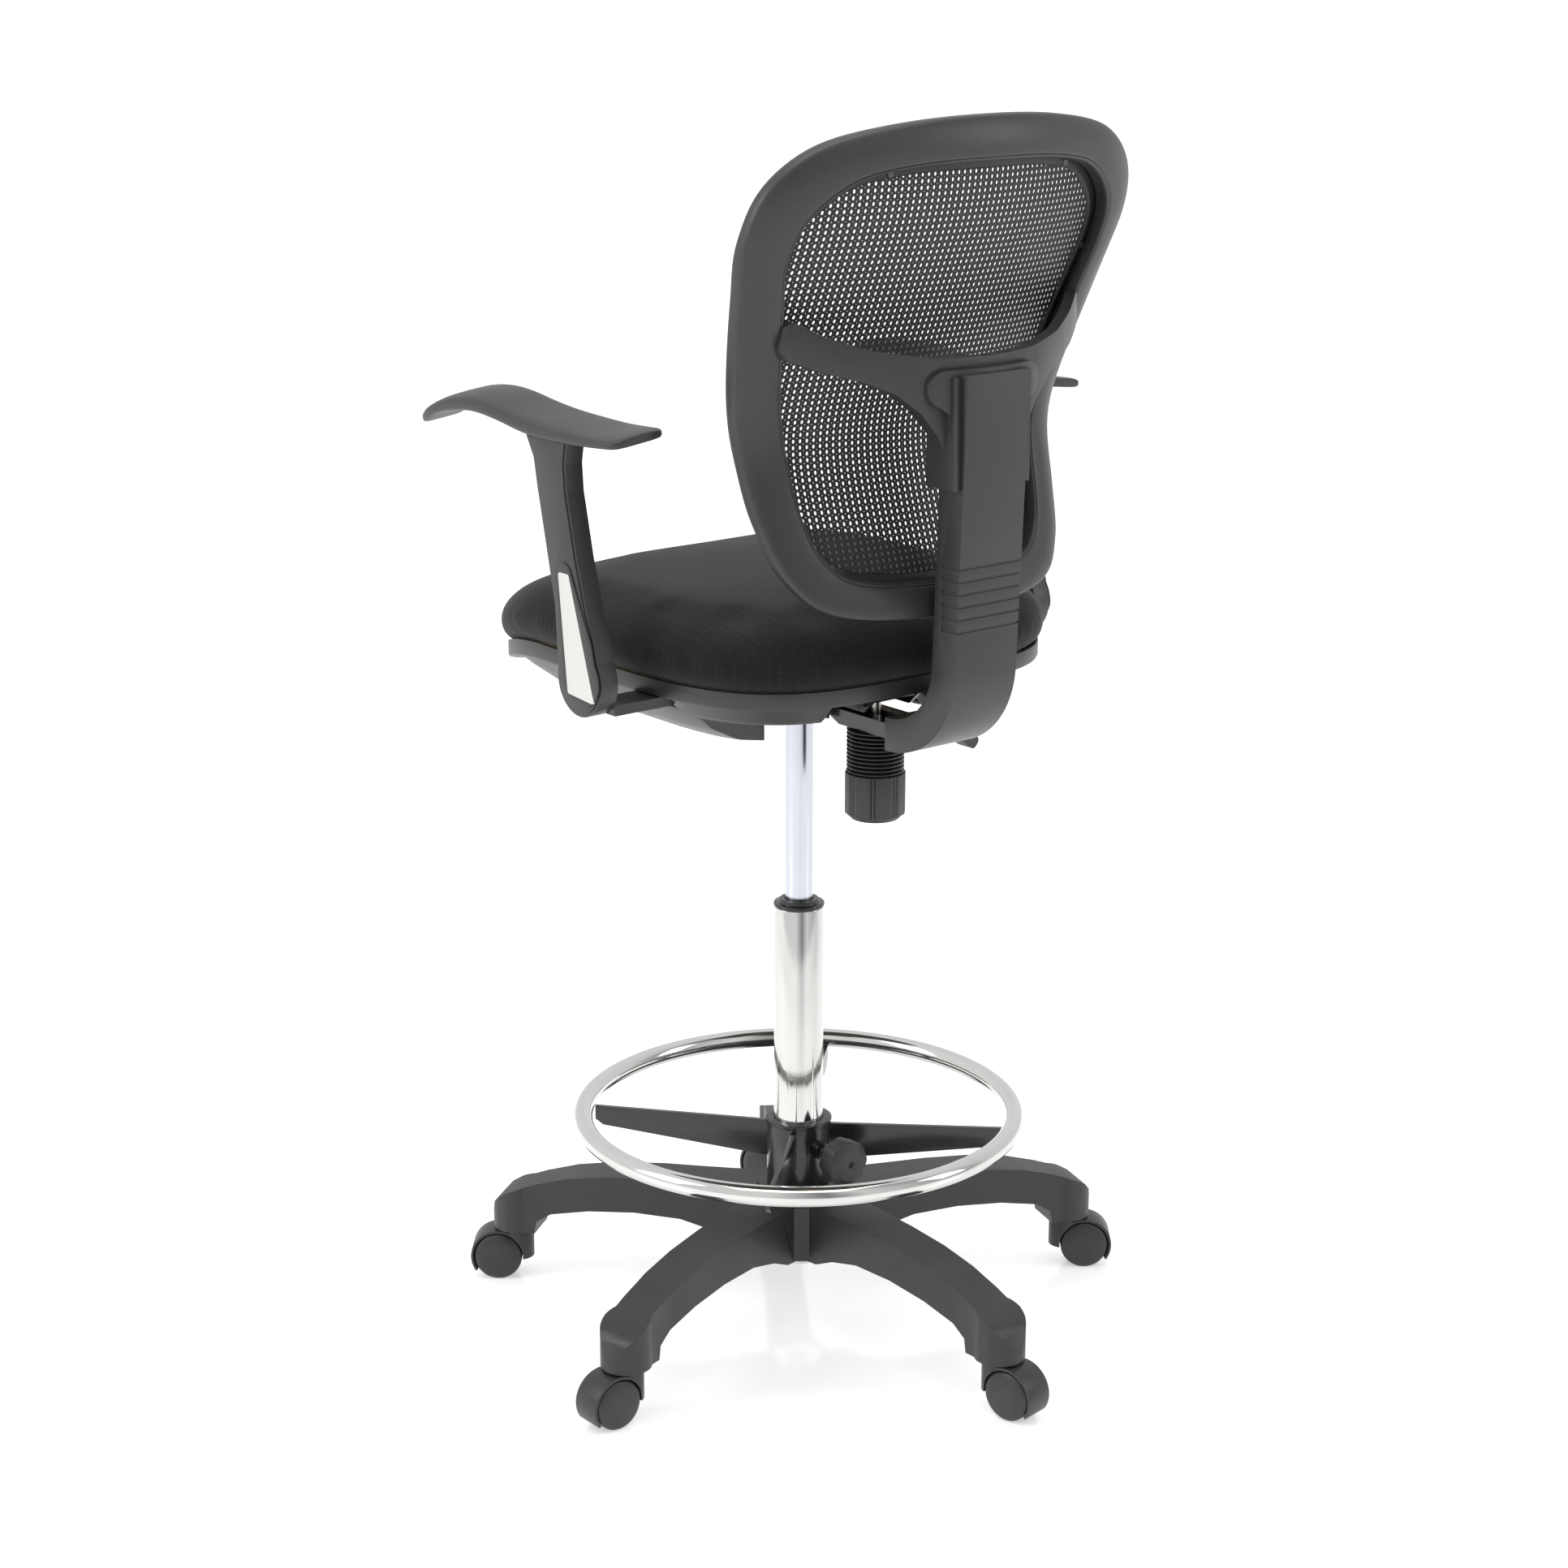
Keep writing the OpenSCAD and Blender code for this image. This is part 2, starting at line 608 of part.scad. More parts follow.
module arm_bracket() {
    color(black) difference() {
        union() {
            translate([104, bar_y[0], arm_z]) cube([post_x - 104, bar_y[1] - bar_y[0], bar_h]);
            for (x = boss_x) translate([x, bar_mid, arm_z]) cylinder(r = 10, h = pan_z - arm_z);
        }
        for (x = boss_x) translate([x, bar_mid, arm_z - 1]) cylinder(r = 4, h = 60);
        translate([108, bar_y[0] + 4, arm_z - 1]) cube([post_x - 150, 6, bar_h - 3]);
        translate([108, bar_y[1] - 12, arm_z - 1]) cube([post_x - 150, 8, bar_h - 3]);
        side_bolt();
    }
}

module arm_bracket_left() { arm_bracket(); }
module arm_bracket_right() { mirror([1, 0, 0]) arm_bracket(); }

// Side view of the post: it leans forward, flares under the pad and ends in a round foot
module post_side() {
    offset(-8) offset(8) union() {
        polygon([[-57, pad_top - 14], [-44, seat_z + 204], [-39, seat_z + 178], [-25, seat_z + 118], [-14, seat_z + 70],
            [-10, seat_z + 8], [55, seat_z + 4], [47, seat_z + 38], [36, seat_z + 72], [22, seat_z + 118],
            [8, seat_z + 178], [6, seat_z + 204], [10, pad_top - 14]]);
        translate(post_foot) circle(post_foot_r);
    }
}

// Raised panel on the post's outer face, narrow above and round below
module panel_side(r) {
    hull() {
        translate([3, seat_z + 100]) circle(r - 17);
        translate([27, seat_z + 10]) circle(r);
    }
}

module inlay_side() {
    offset(3) polygon([[-1, seat_z + 100], [10, seat_z + 100], [44, seat_z - 5], [46, seat_z - 10], [11, seat_z - 7]]);
}

module arm_post() {
    color(black) difference() {
        union() {
            along_x(post_x, post_out - 3) post_side();
            along_x(post_out - 3 - eps, post_out - 1.5) offset(-3) post_side();
            along_x(post_out - 1.5 - eps, post_out) intersection() {
                panel_side(30);
                offset(-1) post_side();
            }
        }
        along_x(post_out - 2, post_out + 1) inlay_side();
        side_bolt();
    }
}

module arm_post_left() { arm_post(); }
module arm_post_right() { mirror([1, 0, 0]) arm_post(); }

module arm_inlays() {
    color(silver) on_both_sides() along_x(post_out - 2, post_out + 0.4) inlay_side();
}

// Side view of the pad: a wave with a dropped nose
module pad_side() {
    offset(-4) offset(7) offset(-3) polygon([[89, pad_top], [40, pad_top - 2], [0, pad_top - 1], [-40, pad_top + 1],
        [-80, pad_top + 5], [-115, pad_top + 10], [-145, pad_top + 11], [-175, pad_top + 7], [-205, pad_top - 3],
        [-228, pad_top - 14], [-238, pad_top - 23], [-231, pad_top - 27], [-205, pad_top - 15],
        [-170, pad_top - 8], [-135, pad_top - 4], [-95, pad_top - 7], [-50, pad_top - 14], [0, pad_top - 15],
        [50, pad_top - 13], [89, pad_top - 9]]);
}

module pad_plan() {
    hull() {
        translate([pad_x + 10, 81]) circle(9);
        translate([pad_x + pad_w - 10, 81]) circle(9);
        translate([pad_x + 22, -216]) circle(22);
        translate([pad_x + pad_w - 24, -216]) circle(22);
        translate([pad_x + 8, -120]) circle(8);
        translate([pad_x + pad_w - 8, -120]) circle(8);
    }
}

module arm_pad() {
    x = pad_x + pad_w / 2;
    color(black) difference() {
        translate([x, 0, pad_top - 8]) rotate([0, pad_tilt, 0]) translate([-x, 0, 8 - pad_top]) intersection() {
            along_x(pad_x - 5, pad_x + pad_w + 5) pad_side();
            translate([0, 0, pad_top - 60]) linear_extrude(100) pad_plan();
        }
        along_x(post_x - eps, post_out - 3 + eps) post_side();
        along_x(post_out - 3, post_out - 1.4) offset(-2.9) post_side();
    }
}

module arm_pad_left() { arm_pad(); }
module arm_pad_right() { mirror([1, 0, 0]) arm_pad(); }

module arm_bolts() {
    color(steel) on_both_sides() {
        for (x = boss_x) translate([x, bar_mid, arm_z]) {
            cylinder(r = 4, h = pan_z + pan_t - arm_z);
            translate([0, 0, -5]) cylinder(r = 7, h = 5, $fn = 6);
        }
        side_bolt();
    }
}

// ---- Levers ----

// Seat height lever: presses the release pin and reaches out under the seat's right side
module height_lever() {
    tip = -seat_w / 2 - 14;
    color(black) difference() {
        union() {
            translate([lever_x, -5, pin_top + gap]) cube([2 - lever_x, 10, 3]);
            translate([lever_x, 9, lever_z]) rotate([90, 0, 0]) cylinder(r = 5, h = 18);
            translate([lever_x - 5, -5, lever_z - lever_drop - 4]) cube([8, 10, lever_drop + 4]);
            translate([tip + 60, 0, lever_z - lever_drop]) rotate([0, 90, 0]) cylinder(r = 4, h = lever_x - tip - 60);
            translate([tip + 34, 0, lever_z - lever_drop - 3.5]) linear_extrude(7) rounded(68, 26, 9);
        }
        translate([lever_x, 10, lever_z]) rotate([90, 0, 0]) cylinder(r = 2 + run, h = 20);
    }
}

// Tilt lock lever: a steel rod with a plastic paddle, on the end of the lock's shaft
module tilt_lever() {
    color(steel) translate([-mech_w / 2 - 6.3, lock_y, lock_z]) difference() {
        union() {
            rotate([0, 90, 0]) cylinder(r = 7, h = 6);
            translate([2, 0, 0]) rotate([0, -131, 0]) cylinder(r = 3.8, h = 88);
        }
        translate([0.2, 0, 0]) rotate([0, 90, 0]) cylinder(r = lock_r + run, h = 6);
    }
    color(black) translate([-mech_w / 2 - 4.3, lock_y, lock_z]) rotate([0, -131, 0]) difference() {
        translate([0, 0, 66]) rotate([90, 0, 0]) translate([0, 15, -10]) linear_extrude(20) rounded(13, 34, 5);
        cylinder(r = 3.8, h = 88);
    }
}

// ---- Tilting back ----

// Line of the spine d in from its outer face: from the top, down the lean, round the bend and forward to y = end
function spine_line(d, top, end) = let (r = bend_r - d, h = top - bend_z, c = [bend_y, bend_z])
    concat([c + [r * cos(spine_lean) + h * sin(spine_lean), h * cos(spine_lean) - r * sin(spine_lean)]],
        [for (i = [0:24]) let (a = spine_lean + (90 - spine_lean) * i / 24) c + r * [cos(a), -sin(a)]],
        [[end, bend_z - r]]);

// Side view of the spine between d0 and d1 in from its outer face
module spine_strip(d0, d1, top, end) {
    inner = spine_line(d1, top, end);
    polygon(concat(spine_line(d0, top, end), [for (i = [len(inner) - 1:-1:0]) inner[i]]));
}

module back_bar() {
    w = bar_w / 2;
    color(steel_black) difference() {
        union() {
            along_x(-w, w) spine_strip(12, 12 + bar_t, spine_top - 30, tilt_y + 6);
            for (x = [-w, w - 4]) along_x(x, x + 4) polygon([[tilt_y + 4, spine_foot + 14], [tilt_y + 24, spine_foot + 5],
                [spine_end + 14, spine_foot + 5], [spine_end + 14, spine_foot + 14]]);
            translate([-w, tilt_y, tilt_z]) rotate([0, 90, 0]) cylinder(r = 10, h = bar_w);
        }
        translate([-w - 1, tilt_y, tilt_z]) rotate([0, 90, 0]) cylinder(r = tilt_pin_r + run, h = bar_w + 2);
        translate([-7, knob_y - 7, spine_foot - 10]) cube([14, 22, 40]);
    }
}

// Outline of the leaf that ends the spine's cover
module leaf_front() {
    x = spine_w / 2 + 12;
    offset(-6) offset(6) union() {
        for (s = [-1, 1]) translate([s * x, spine_top - leaf_r]) circle(leaf_r, $fn = 48);
        translate([-x, spine_top - 2 * leaf_r]) square([2 * x, 2 * leaf_r]);
        polygon([[-x - 8, spine_top - 31], [-spine_w / 2, spine_top - 46], [spine_w / 2, spine_top - 46], [x + 8, spine_top - 31]]);
    }
}

// Plan of an arc across the back: f and r are its front and rear faces on the centre line, and c its curve
module plan_arc(f, r, c, reach) {
    polygon(concat([for (x = [-reach:10:reach]) [x, r - c * x * x]], [for (x = [reach:-10:-reach]) [x, f - 0.00228 * x * x]]));
}

module leaf() {
    intersection() {
        along_y(200, 320) leaf_front();
        translate([0, 0, spine_top - 80]) linear_extrude(100)
            plan_arc(spine_yoke - 4, spine_yoke + 15, 0.00315, 80);
    }
}

module spine_outside() {
    along_x(-spine_w / 2, spine_w / 2) spine_strip(0, spine_t, spine_top, spine_end);
    leaf();
}

// Cover over the steel bar: the spine's J, six grooves low on its back and the leaf at its top
module spine_cover() {
    w = spine_w / 2;
    c = cover_wall;
    color(black) difference() {
        spine_outside();
        for (x = [[c - w, -14], [-11, 11], [14, w - c]])
            along_x(x[0], x[1]) spine_strip(c, spine_t - c, spine_top - c, spine_end - 1);
        along_x(-bar_w / 2, bar_w / 2) spine_strip(12, 12 + bar_t, spine_top - 30, spine_end - 1);
        difference() {
            for (i = [0:groove_n - 1]) translate([-60, spine_rear - 20, groove_z + groove_pitch * i]) cube([120, 40, 2.6]);
            along_x(groove_d - w, w - groove_d) spine_strip(groove_d, spine_t + 5, spine_top, spine_end);
        }
    }
}

// Curved crossbar: a sleeve around the spine's top and two arms that end on the frame's sides
module back_yoke() {
    k = back_w / 458;
    s = spine_w / 2 + sleeve_wall;
    t = spine_top;
    half = [[0, t + 9], [60, t + 11], [110, t + 19], [150 * k, t + 33], [172 * k, t + 46], [180 * k, t + 42],
        [182 * k, t + 22], [176 * k, t + 12], [150 * k, t + 1], [118, t - 8], [92, t - 20], [70, t - 38],
        [s + 6, t - 62], [s, t - 78], [s, t - sleeve_h], [0, t - sleeve_h]];
    color(black) difference() {
        union() {
            intersection() {
                along_y(150, 320) on_both_halves() polygon(half);
                translate([0, 0, t - sleeve_h - 1]) linear_extrude(200) plan_arc(spine_yoke - 7, spine_yoke + 7, 0.00228, 200);
            }
            intersection() {
                translate([-s, spine_yoke - 24, t - sleeve_h]) cube([2 * s, 38, sleeve_h - 6]);
                along_y(150, 320) on_both_halves() polygon(half);
            }
        }
        spine_outside();
    }
}

module on_both_halves() {
    children();
    mirror([1, 0]) children();
}

module back_frame() {
    color(black) back_ring([[0, -14], [0, -1], [0.25, 3], [0.5, 4], [0.75, 3], [1, 0], [1, -16], [0.5, -14.5]]);
}

// Dark flange that grips the mesh, in front of the frame
module mesh_carrier() {
    color(soft_black) back_ring([[0.55, -22], [0.55, -15.9], [flange, -15.9], [flange, -22]]);
}

module back_mesh() {
    color("#3a3a3a") back_sheet(flange, -20.5, -19);
}

module carrier_screws() {
    n = len(rim_pts);
    color(steel_black) for (i = [0:7]) translate(across(floor((i + 0.5) * n / 8), (1 + flange) / 2, -15))
        rotate([90, 0, 0]) cylinder(r = 3, h = 5);
}

module tension_bolt() {
    color(steel) translate([0, knob_y, 0]) {
        translate([0, 0, knob_foot - 5]) cylinder(r = tension_r, h = mech_top - 3 - knob_foot + 5);
        translate([0, 0, mech_top - 3]) cylinder(r = 8, h = 2.6, $fn = 6);
    }
}

// Coil spring around the tension bolt
module tension_spring() {
    turns = 5;
    wire = 2.2;
    coil = 13;
    side = 8;
    rise = bellows_top + 6 - knob_top - 2 * wire;
    n = turns * 20;
    points = [for (i = [0:n], j = [0:side - 1]) let (a = 360 * turns * i / n, b = 360 * j / side, r = coil + wire * cos(b))
        [r * cos(a), knob_y + r * sin(a), knob_top + wire + gap + rise * i / n + wire * sin(b)]];
    walls = [for (i = [0:n - 1], j = [0:side - 1]) let (a = i * side + j, b = i * side + (j + 1) % side)
        each [[a, b, a + side], [b, b + side, a + side]]];
    color(steel) polyhedron(points, concat(walls, [[for (j = [0:side - 1]) side - 1 - j]], [[for (j = [0:side - 1]) n * side + j]]),
        convexity = 8);
}

// Ribbed rubber sleeve around the spring
module bellows() {
    p = bellows_h / bellows_n;
    outer = [for (i = [0:bellows_n - 1]) each [[bellows_r - 3, p * i], [bellows_r, p * (i + 0.3)], [bellows_r, p * (i + 0.7)]]];
    inner = [for (i = [bellows_n - 1:-1:0]) each [[bellows_r - 2, p * (i + 0.7)], [bellows_r - 2, p * (i + 0.3)], [bellows_r - 5, p * i]]];
    color(soft_black) translate([0, knob_y, knob_top + gap / 2]) rotate_extrude()
        polygon(concat(outer, [[bellows_r - 3, bellows_h], [bellows_r - 5, bellows_h]], inner));
}

module tension_knob() {
    r = knob_d / 2;
    color(soft_black) translate([0, knob_y, knob_foot]) difference() {
        union() {
            translate([0, 0, 5]) linear_extrude(knob_h - 5) knob_plan(r);
            cylinder(r1 = r - 6, r2 = r - 2, h = 5 + eps);
        }
        translate([0, 0, -1]) cylinder(r = tension_r + run, h = knob_h + 2);
    }
}

// Sixteen facets, with a pair of grooves in every other one
module knob_plan(r) {
    c = r * cos(11.25);
    e = r * sin(11.25);
    facet = [[c, -e], [c, -2.4], [c - 1.2, -1.8], [c, -1.2], [c, 1.2], [c - 1.2, 1.8], [c, 2.4]];
    polygon([for (i = [0:15]) let (a = 22.5 * i) for (q = i % 2 == 0 ? facet : [facet[0]])
        [q[0] * cos(a) - q[1] * sin(a), q[0] * sin(a) + q[1] * cos(a)]]);
}

// ---- Casters ----

module caster(i) {
    rotate([0, 0, leg_turn[i]]) translate([base_r, 0, 0]) rotate([0, 0, trail_turn[i] - leg_turn[i]]) children();
}

module across_wheel(r, y0, y1) {
    translate([trail, y1, axle_z]) rotate([90, 0, 0]) cylinder(r = r, h = y1 - y0);
}

// Neck, middle web and a cover that arches over both wheels and down behind them
module caster_hood() {
    room = wheel_d / 2 + 1.2;
    skin = room + 2.6;
    half = wheel_y + wheel_w - 3.5;
    color(black) difference() {
        union() {
            translate([0, 0, 22]) cylinder(r = 17, h = leg_foot_z - 24.5);
            across_wheel(wheel_d / 2 - 2, -wheel_y + 0.4, wheel_y - 0.4);
            intersection() {
                across_wheel(skin, -half, half);
                translate([trail, -half - 1, axle_z]) rotate([-90, 0, 0]) linear_extrude(2 * half + 2)
                    polygon([[0, 0], [50, 34], [50, -50], [-50, -50], [-50, -14]]);
            }
        }
        for (y = [wheel_y - 0.4, -half - 1]) across_wheel(room, y, y + half + 1 - wheel_y + 0.4);
        for (y = [half - eps, -half - 20]) across_wheel(room, y, y + 20);
        translate([0, 0, 48]) cylinder(r = stem_r, h = 60);
        across_wheel(axle_r, -40, 40);
    }
}

// Swivel stem with its collar, and the wheels' axle
module caster_pins() {
    color(steel) {
        translate([0, 0, 48]) cylinder(r = stem_r, h = stem_top - 48);
        translate([0, 0, leg_foot_z - 2.5]) cylinder(r = 9, h = 2.4);
        across_wheel(axle_r, 3 - wheel_y - wheel_w, wheel_y + wheel_w - 3);
    }
}

module wheel(s) {
    r = wheel_d / 2;
    color(soft_black) translate([trail, 0, axle_z]) rotate([s * -90, 0, 0]) translate([0, 0, wheel_y]) difference() {
        union() {
            cylinder(r1 = r - 1, r2 = r, h = 1);
            translate([0, 0, 1]) cylinder(r = r, h = wheel_w - 5);
            translate([0, 0, wheel_w - 4]) cylinder(r1 = r, r2 = r - 2.5, h = 2);
            translate([0, 0, wheel_w - 2]) cylinder(r1 = r - 2.5, r2 = r - 9, h = 2);
        }
        translate([0, 0, -1]) cylinder(r = axle_r + run, h = wheel_w - 1.8);
    }
}

base_star();
column_tube();
guide_collar();
thrust_bearing();
retaining_clip();
piston_rod();
ring_tube();
ring_hub();
ring_bush();
ring_knob();
gas_cylinder();
release_pin();
mechanism_body();
tilt_pivot_pin();
tilt_bracket();
mechanism_bolts();
seat_shell();
seat_pan();
seat_cushion();
arm_bracket_left();
arm_bracket_right();
arm_post_left();
arm_post_right();
arm_pad_left();
arm_pad_right();
arm_inlays();
arm_bolts();
height_lever();
tilt_lever();
back_bar();
spine_cover();
back_yoke();
back_frame();
mesh_carrier();
back_mesh();
carrier_screws();
tension_bolt();
tension_spring();
bellows();
tension_knob();
caster(0) caster_hood();  // caster_hood_1
caster(1) caster_hood();  // caster_hood_2
caster(2) caster_hood();  // caster_hood_3
caster(3) caster_hood();  // caster_hood_4
caster(4) caster_hood();  // caster_hood_5
caster(0) caster_pins();  // caster_pins_1
caster(1) caster_pins();  // caster_pins_2
caster(2) caster_pins();  // caster_pins_3
caster(3) caster_pins();  // caster_pins_4
caster(4) caster_pins();  // caster_pins_5
caster(0) wheel(1);  // wheel_left_1
caster(1) wheel(1);  // wheel_left_2
caster(2) wheel(1);  // wheel_left_3
caster(3) wheel(1);  // wheel_left_4
caster(4) wheel(1);  // wheel_left_5
caster(0) wheel(-1);  // wheel_right_1
caster(1) wheel(-1);  // wheel_right_2
caster(2) wheel(-1);  // wheel_right_3
caster(3) wheel(-1);  // wheel_right_4
caster(4) wheel(-1);  // wheel_right_5
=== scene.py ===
"""Looks of the drafting chair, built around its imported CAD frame.

All sizes are in metres. +Z is up, the sitter faces -Y and +X is the sitter's left.
"""

import logging
import math
from dataclasses import dataclass, field
from enum import Enum
from typing import Callable, Sequence

import bmesh
import bpy
from mathutils import Matrix, Vector


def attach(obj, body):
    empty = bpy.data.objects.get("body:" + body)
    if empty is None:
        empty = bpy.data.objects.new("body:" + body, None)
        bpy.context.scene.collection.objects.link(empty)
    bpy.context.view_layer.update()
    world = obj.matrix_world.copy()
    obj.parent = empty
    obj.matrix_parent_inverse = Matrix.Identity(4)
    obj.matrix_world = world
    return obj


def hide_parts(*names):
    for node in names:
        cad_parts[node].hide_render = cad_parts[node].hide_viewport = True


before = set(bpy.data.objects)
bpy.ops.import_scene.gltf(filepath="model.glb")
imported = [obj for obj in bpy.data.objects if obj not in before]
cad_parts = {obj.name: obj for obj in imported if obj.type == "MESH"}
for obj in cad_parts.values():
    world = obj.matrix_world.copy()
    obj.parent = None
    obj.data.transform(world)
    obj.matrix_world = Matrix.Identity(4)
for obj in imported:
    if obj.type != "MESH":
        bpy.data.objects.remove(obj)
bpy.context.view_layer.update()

logging.basicConfig(level=logging.INFO, format="%(message)s")
log = logging.getLogger("chair")

Thing = bpy.types.Object
Socket = bpy.types.NodeSocket
Finish = bpy.types.Material
Point2 = tuple[float, float]
Ring = list[Vector]


# ---- Finishes ----


class Direction(Enum):
    """Way that the lines of a brushed or woven finish run."""

    ALONG_X = "X"
    ALONG_Y = "Y"
    ALONG_Z = "Z"


class Recipe:
    """A material under construction, with short ways to add and join its nodes."""

    def __init__(self, name: str) -> None:
        """Starts an empty material.

        Args:
            name: The material's name.
        """
        self.material = bpy.data.materials.new(name)
        self.material.use_nodes = True
        self.tree = self.material.node_tree
        self.surface = self.tree.nodes["Principled BSDF"]
        self.place = self.add("ShaderNodeTexCoord").outputs["Object"]

    def add(self, kind: str, **settings: object) -> bpy.types.Node:
        """Adds a node and sets its options.

        Args:
            kind: The node's type name.
            **settings: Attributes of the node, by name.

        Returns:
            The new node.
        """
        made = self.tree.nodes.new(kind)
        for key, value in settings.items():
            setattr(made, key, value)
        return made

    def join(self, source: Socket, target: Socket) -> None:
        """Links one socket to another."""
        self.tree.links.new(source, target)

    def stretched(self, scale: Sequence[float]) -> Socket:
        """Object coordinates scaled along each axis.

        Args:
            scale: Factor along X, Y and Z.

        Returns:
            The scaled coordinates.
        """
        mapping = self.add("ShaderNodeMapping")
        mapping.inputs["Scale"].default_value = scale
        self.join(self.place, mapping.inputs["Vector"])
        return mapping.outputs["Vector"]

    def noise(
        self, scale: float, detail: float = 2.0, place: Socket | None = None
    ) -> Socket:
        """Soft random values over the surface.

        Args:
            scale: Patches per metre.
            detail: Finer octaves.
            place: Coordinates, or None for the object's own.

        Returns:
            A value from 0 to 1.
        """
        made = self.add("ShaderNodeTexNoise")
        made.inputs["Scale"].default_value = scale
        made.inputs["Detail"].default_value = detail
        self.join(place or self.place, made.inputs["Vector"])
        return made.outputs["Fac"]

    def grain(self, scale: float) -> Socket:
        """Pebbled cells over the surface.

        Args:
            scale: Cells per metre.

        Returns:
            The distance from each cell's middle.
        """
        made = self.add("ShaderNodeTexVoronoi")
        made.inputs["Scale"].default_value = scale
        self.join(self.place, made.inputs["Vector"])
        return made.outputs["Distance"]

    def lines(self, direction: Direction, scale: float) -> Socket:
        """Parallel ribs.

        Args:
            direction: The axis that the ribs follow one another along.
            scale: Ribs per metre, divided by 20.

        Returns:
            A value from 0 to 1.
        """
        made = self.add("ShaderNodeTexWave", bands_direction=direction.value)
        made.inputs["Scale"].default_value = scale
        self.join(self.place, made.inputs["Vector"])
        return made.outputs["Fac"]

    def remap(self, value: Socket, low: float, high: float) -> Socket:
        """Spreads a value from 0 to 1 over another range.

        Args:
            value: The value.
            low: Result at 0.
            high: Result at 1.

        Returns:
            The new value.
        """
        made = self.add("ShaderNodeMapRange")
        made.inputs["To Min"].default_value = low
        made.inputs["To Max"].default_value = high
        self.join(value, made.inputs["Value"])
        return made.outputs["Result"]

    def product(self, a: Socket, b: Socket) -> Socket:
        """Multiplies two values."""
        made = self.add("ShaderNodeMath", operation="MULTIPLY")
        self.join(a, made.inputs[0])
        self.join(b, made.inputs[1])
        return made.outputs["Value"]

    def blend(
        self, share: Socket, a: Sequence[float], b: Sequence[float]
    ) -> Socket:
        """Mixes two colours.

        Args:
            share: 0 gives a, 1 gives b.
            a: First colour, linear RGB.
            b: Second colour, linear RGB.

        Returns:
            The mixed colour.
        """
        made = self.add("ShaderNodeMix", data_type="RGBA")
        made.inputs["A"].default_value = (*a, 1.0)
        made.inputs["B"].default_value = (*b, 1.0)
        self.join(share, made.inputs["Factor"])
        return made.outputs["Result"]

    def bump(self, height: Socket, depth: float, strength: float = 1.0) -> None:
        """Raises the surface by a height pattern.

        Args:
            height: The pattern, from 0 to 1.
            depth: Height of the pattern in metres.
            strength: Share of the effect.
        """
        made = self.add("ShaderNodeBump")
        made.inputs["Strength"].default_value = strength
        made.inputs["Distance"].default_value = depth
        self.join(height, made.inputs["Height"])
        self.join(made.outputs["Normal"], self.surface.inputs["Normal"])

    def colour(self, source: Socket) -> None:
        """Feeds the base colour."""
        self.join(source, self.surface.inputs["Base Color"])

    def rough(self, source: Socket) -> None:
        """Feeds the roughness."""
        self.join(source, self.surface.inputs["Roughness"])

    def set(self, **values: float) -> None:
        """Sets sockets of the surface shader, with underscores for spaces in their names."""
        for key, value in values.items():
            self.surface.inputs[key.replace("_", " ")].default_value = value


@dataclass(frozen=True)
class MouldedPlastic:
    """Injection-moulded plastic with a fine leather grain.

    Attributes:
        name: The material's name.
        tone: Grey level of the plastic.
        warmth: How much redder than bluer it is.
        roughness: Mean roughness.
        cell: Size of a grain cell.
        depth: Depth of the grain.
    """

    name: str
    tone: float
    warmth: float = 0.04
    roughness: float = 0.46
    cell: float = 0.0011
    depth: float = 0.00012

    def make(self) -> Finish:
        """Builds the material."""
        r = Recipe(self.name)
        base = (self.tone * (1 + self.warmth), self.tone, self.tone * (1 - self.warmth))
        light = tuple(min(1.0, c * 1.35 + 0.004) for c in base)
        fine = r.noise(1 / self.cell, 3.0)
        r.colour(r.blend(r.remap(fine, -0.6, 1.4), base, light))
        cloud = r.noise(24.0, 3.0)
        r.rough(r.remap(cloud, self.roughness - 0.07, self.roughness + 0.07))
        r.set(Specular_IOR_Level=0.5)
        r.bump(r.grain(0.8 / self.cell), self.depth, 0.55)
        return r.material


@dataclass(frozen=True)
class PolishedMetal:
    """Plated or brushed tube.

    Attributes:
        name: The material's name.
        colour: Reflected colour, linear RGB.
        roughness: Mean roughness.
        brushed: Strength of the fine lines along Z.
    """

    name: str
    colour: tuple[float, float, float]
    roughness: float
    brushed: float = 0.0

    def make(self) -> Finish:
        """Builds the material."""
        r = Recipe(self.name)
        r.set(Metallic=1.0)
        dark = tuple(c * 0.9 for c in self.colour)
        r.colour(r.blend(r.noise(14.0, 2.0), self.colour, dark))
        lines = r.noise(1.0, 2.0, r.stretched((900.0, 900.0, 12.0)))
        r.rough(r.remap(lines, self.roughness * 0.7, self.roughness * 1.4))
        if self.brushed:
            r.bump(lines, 0.00002, self.brushed)
        return r.material


@dataclass(frozen=True)
class PaintedSteel:
    """Smooth powder coat with a little orange peel.

    Attributes:
        name: The material's name.
        tone: Grey level of the paint.
        roughness: Mean roughness.
    """

    name: str
    tone: float
    roughness: float = 0.26

    def make(self) -> Finish:
        """Builds the material."""
        r = Recipe(self.name)
        low, high = (self.tone,) * 3, (self.tone * 1.4,) * 3
        r.colour(r.blend(r.noise(60.0, 3.0), low, high))
        sheen = r.remap(r.noise(30.0), self.roughness - 0.05, self.roughness + 0.06)
        r.rough(sheen)
        r.set(Specular_IOR_Level=0.55, Coat_Weight=0.25, Coat_Roughness=0.12)
        r.bump(r.noise(420.0, 1.0), 0.00006, 0.35)
        return r.material


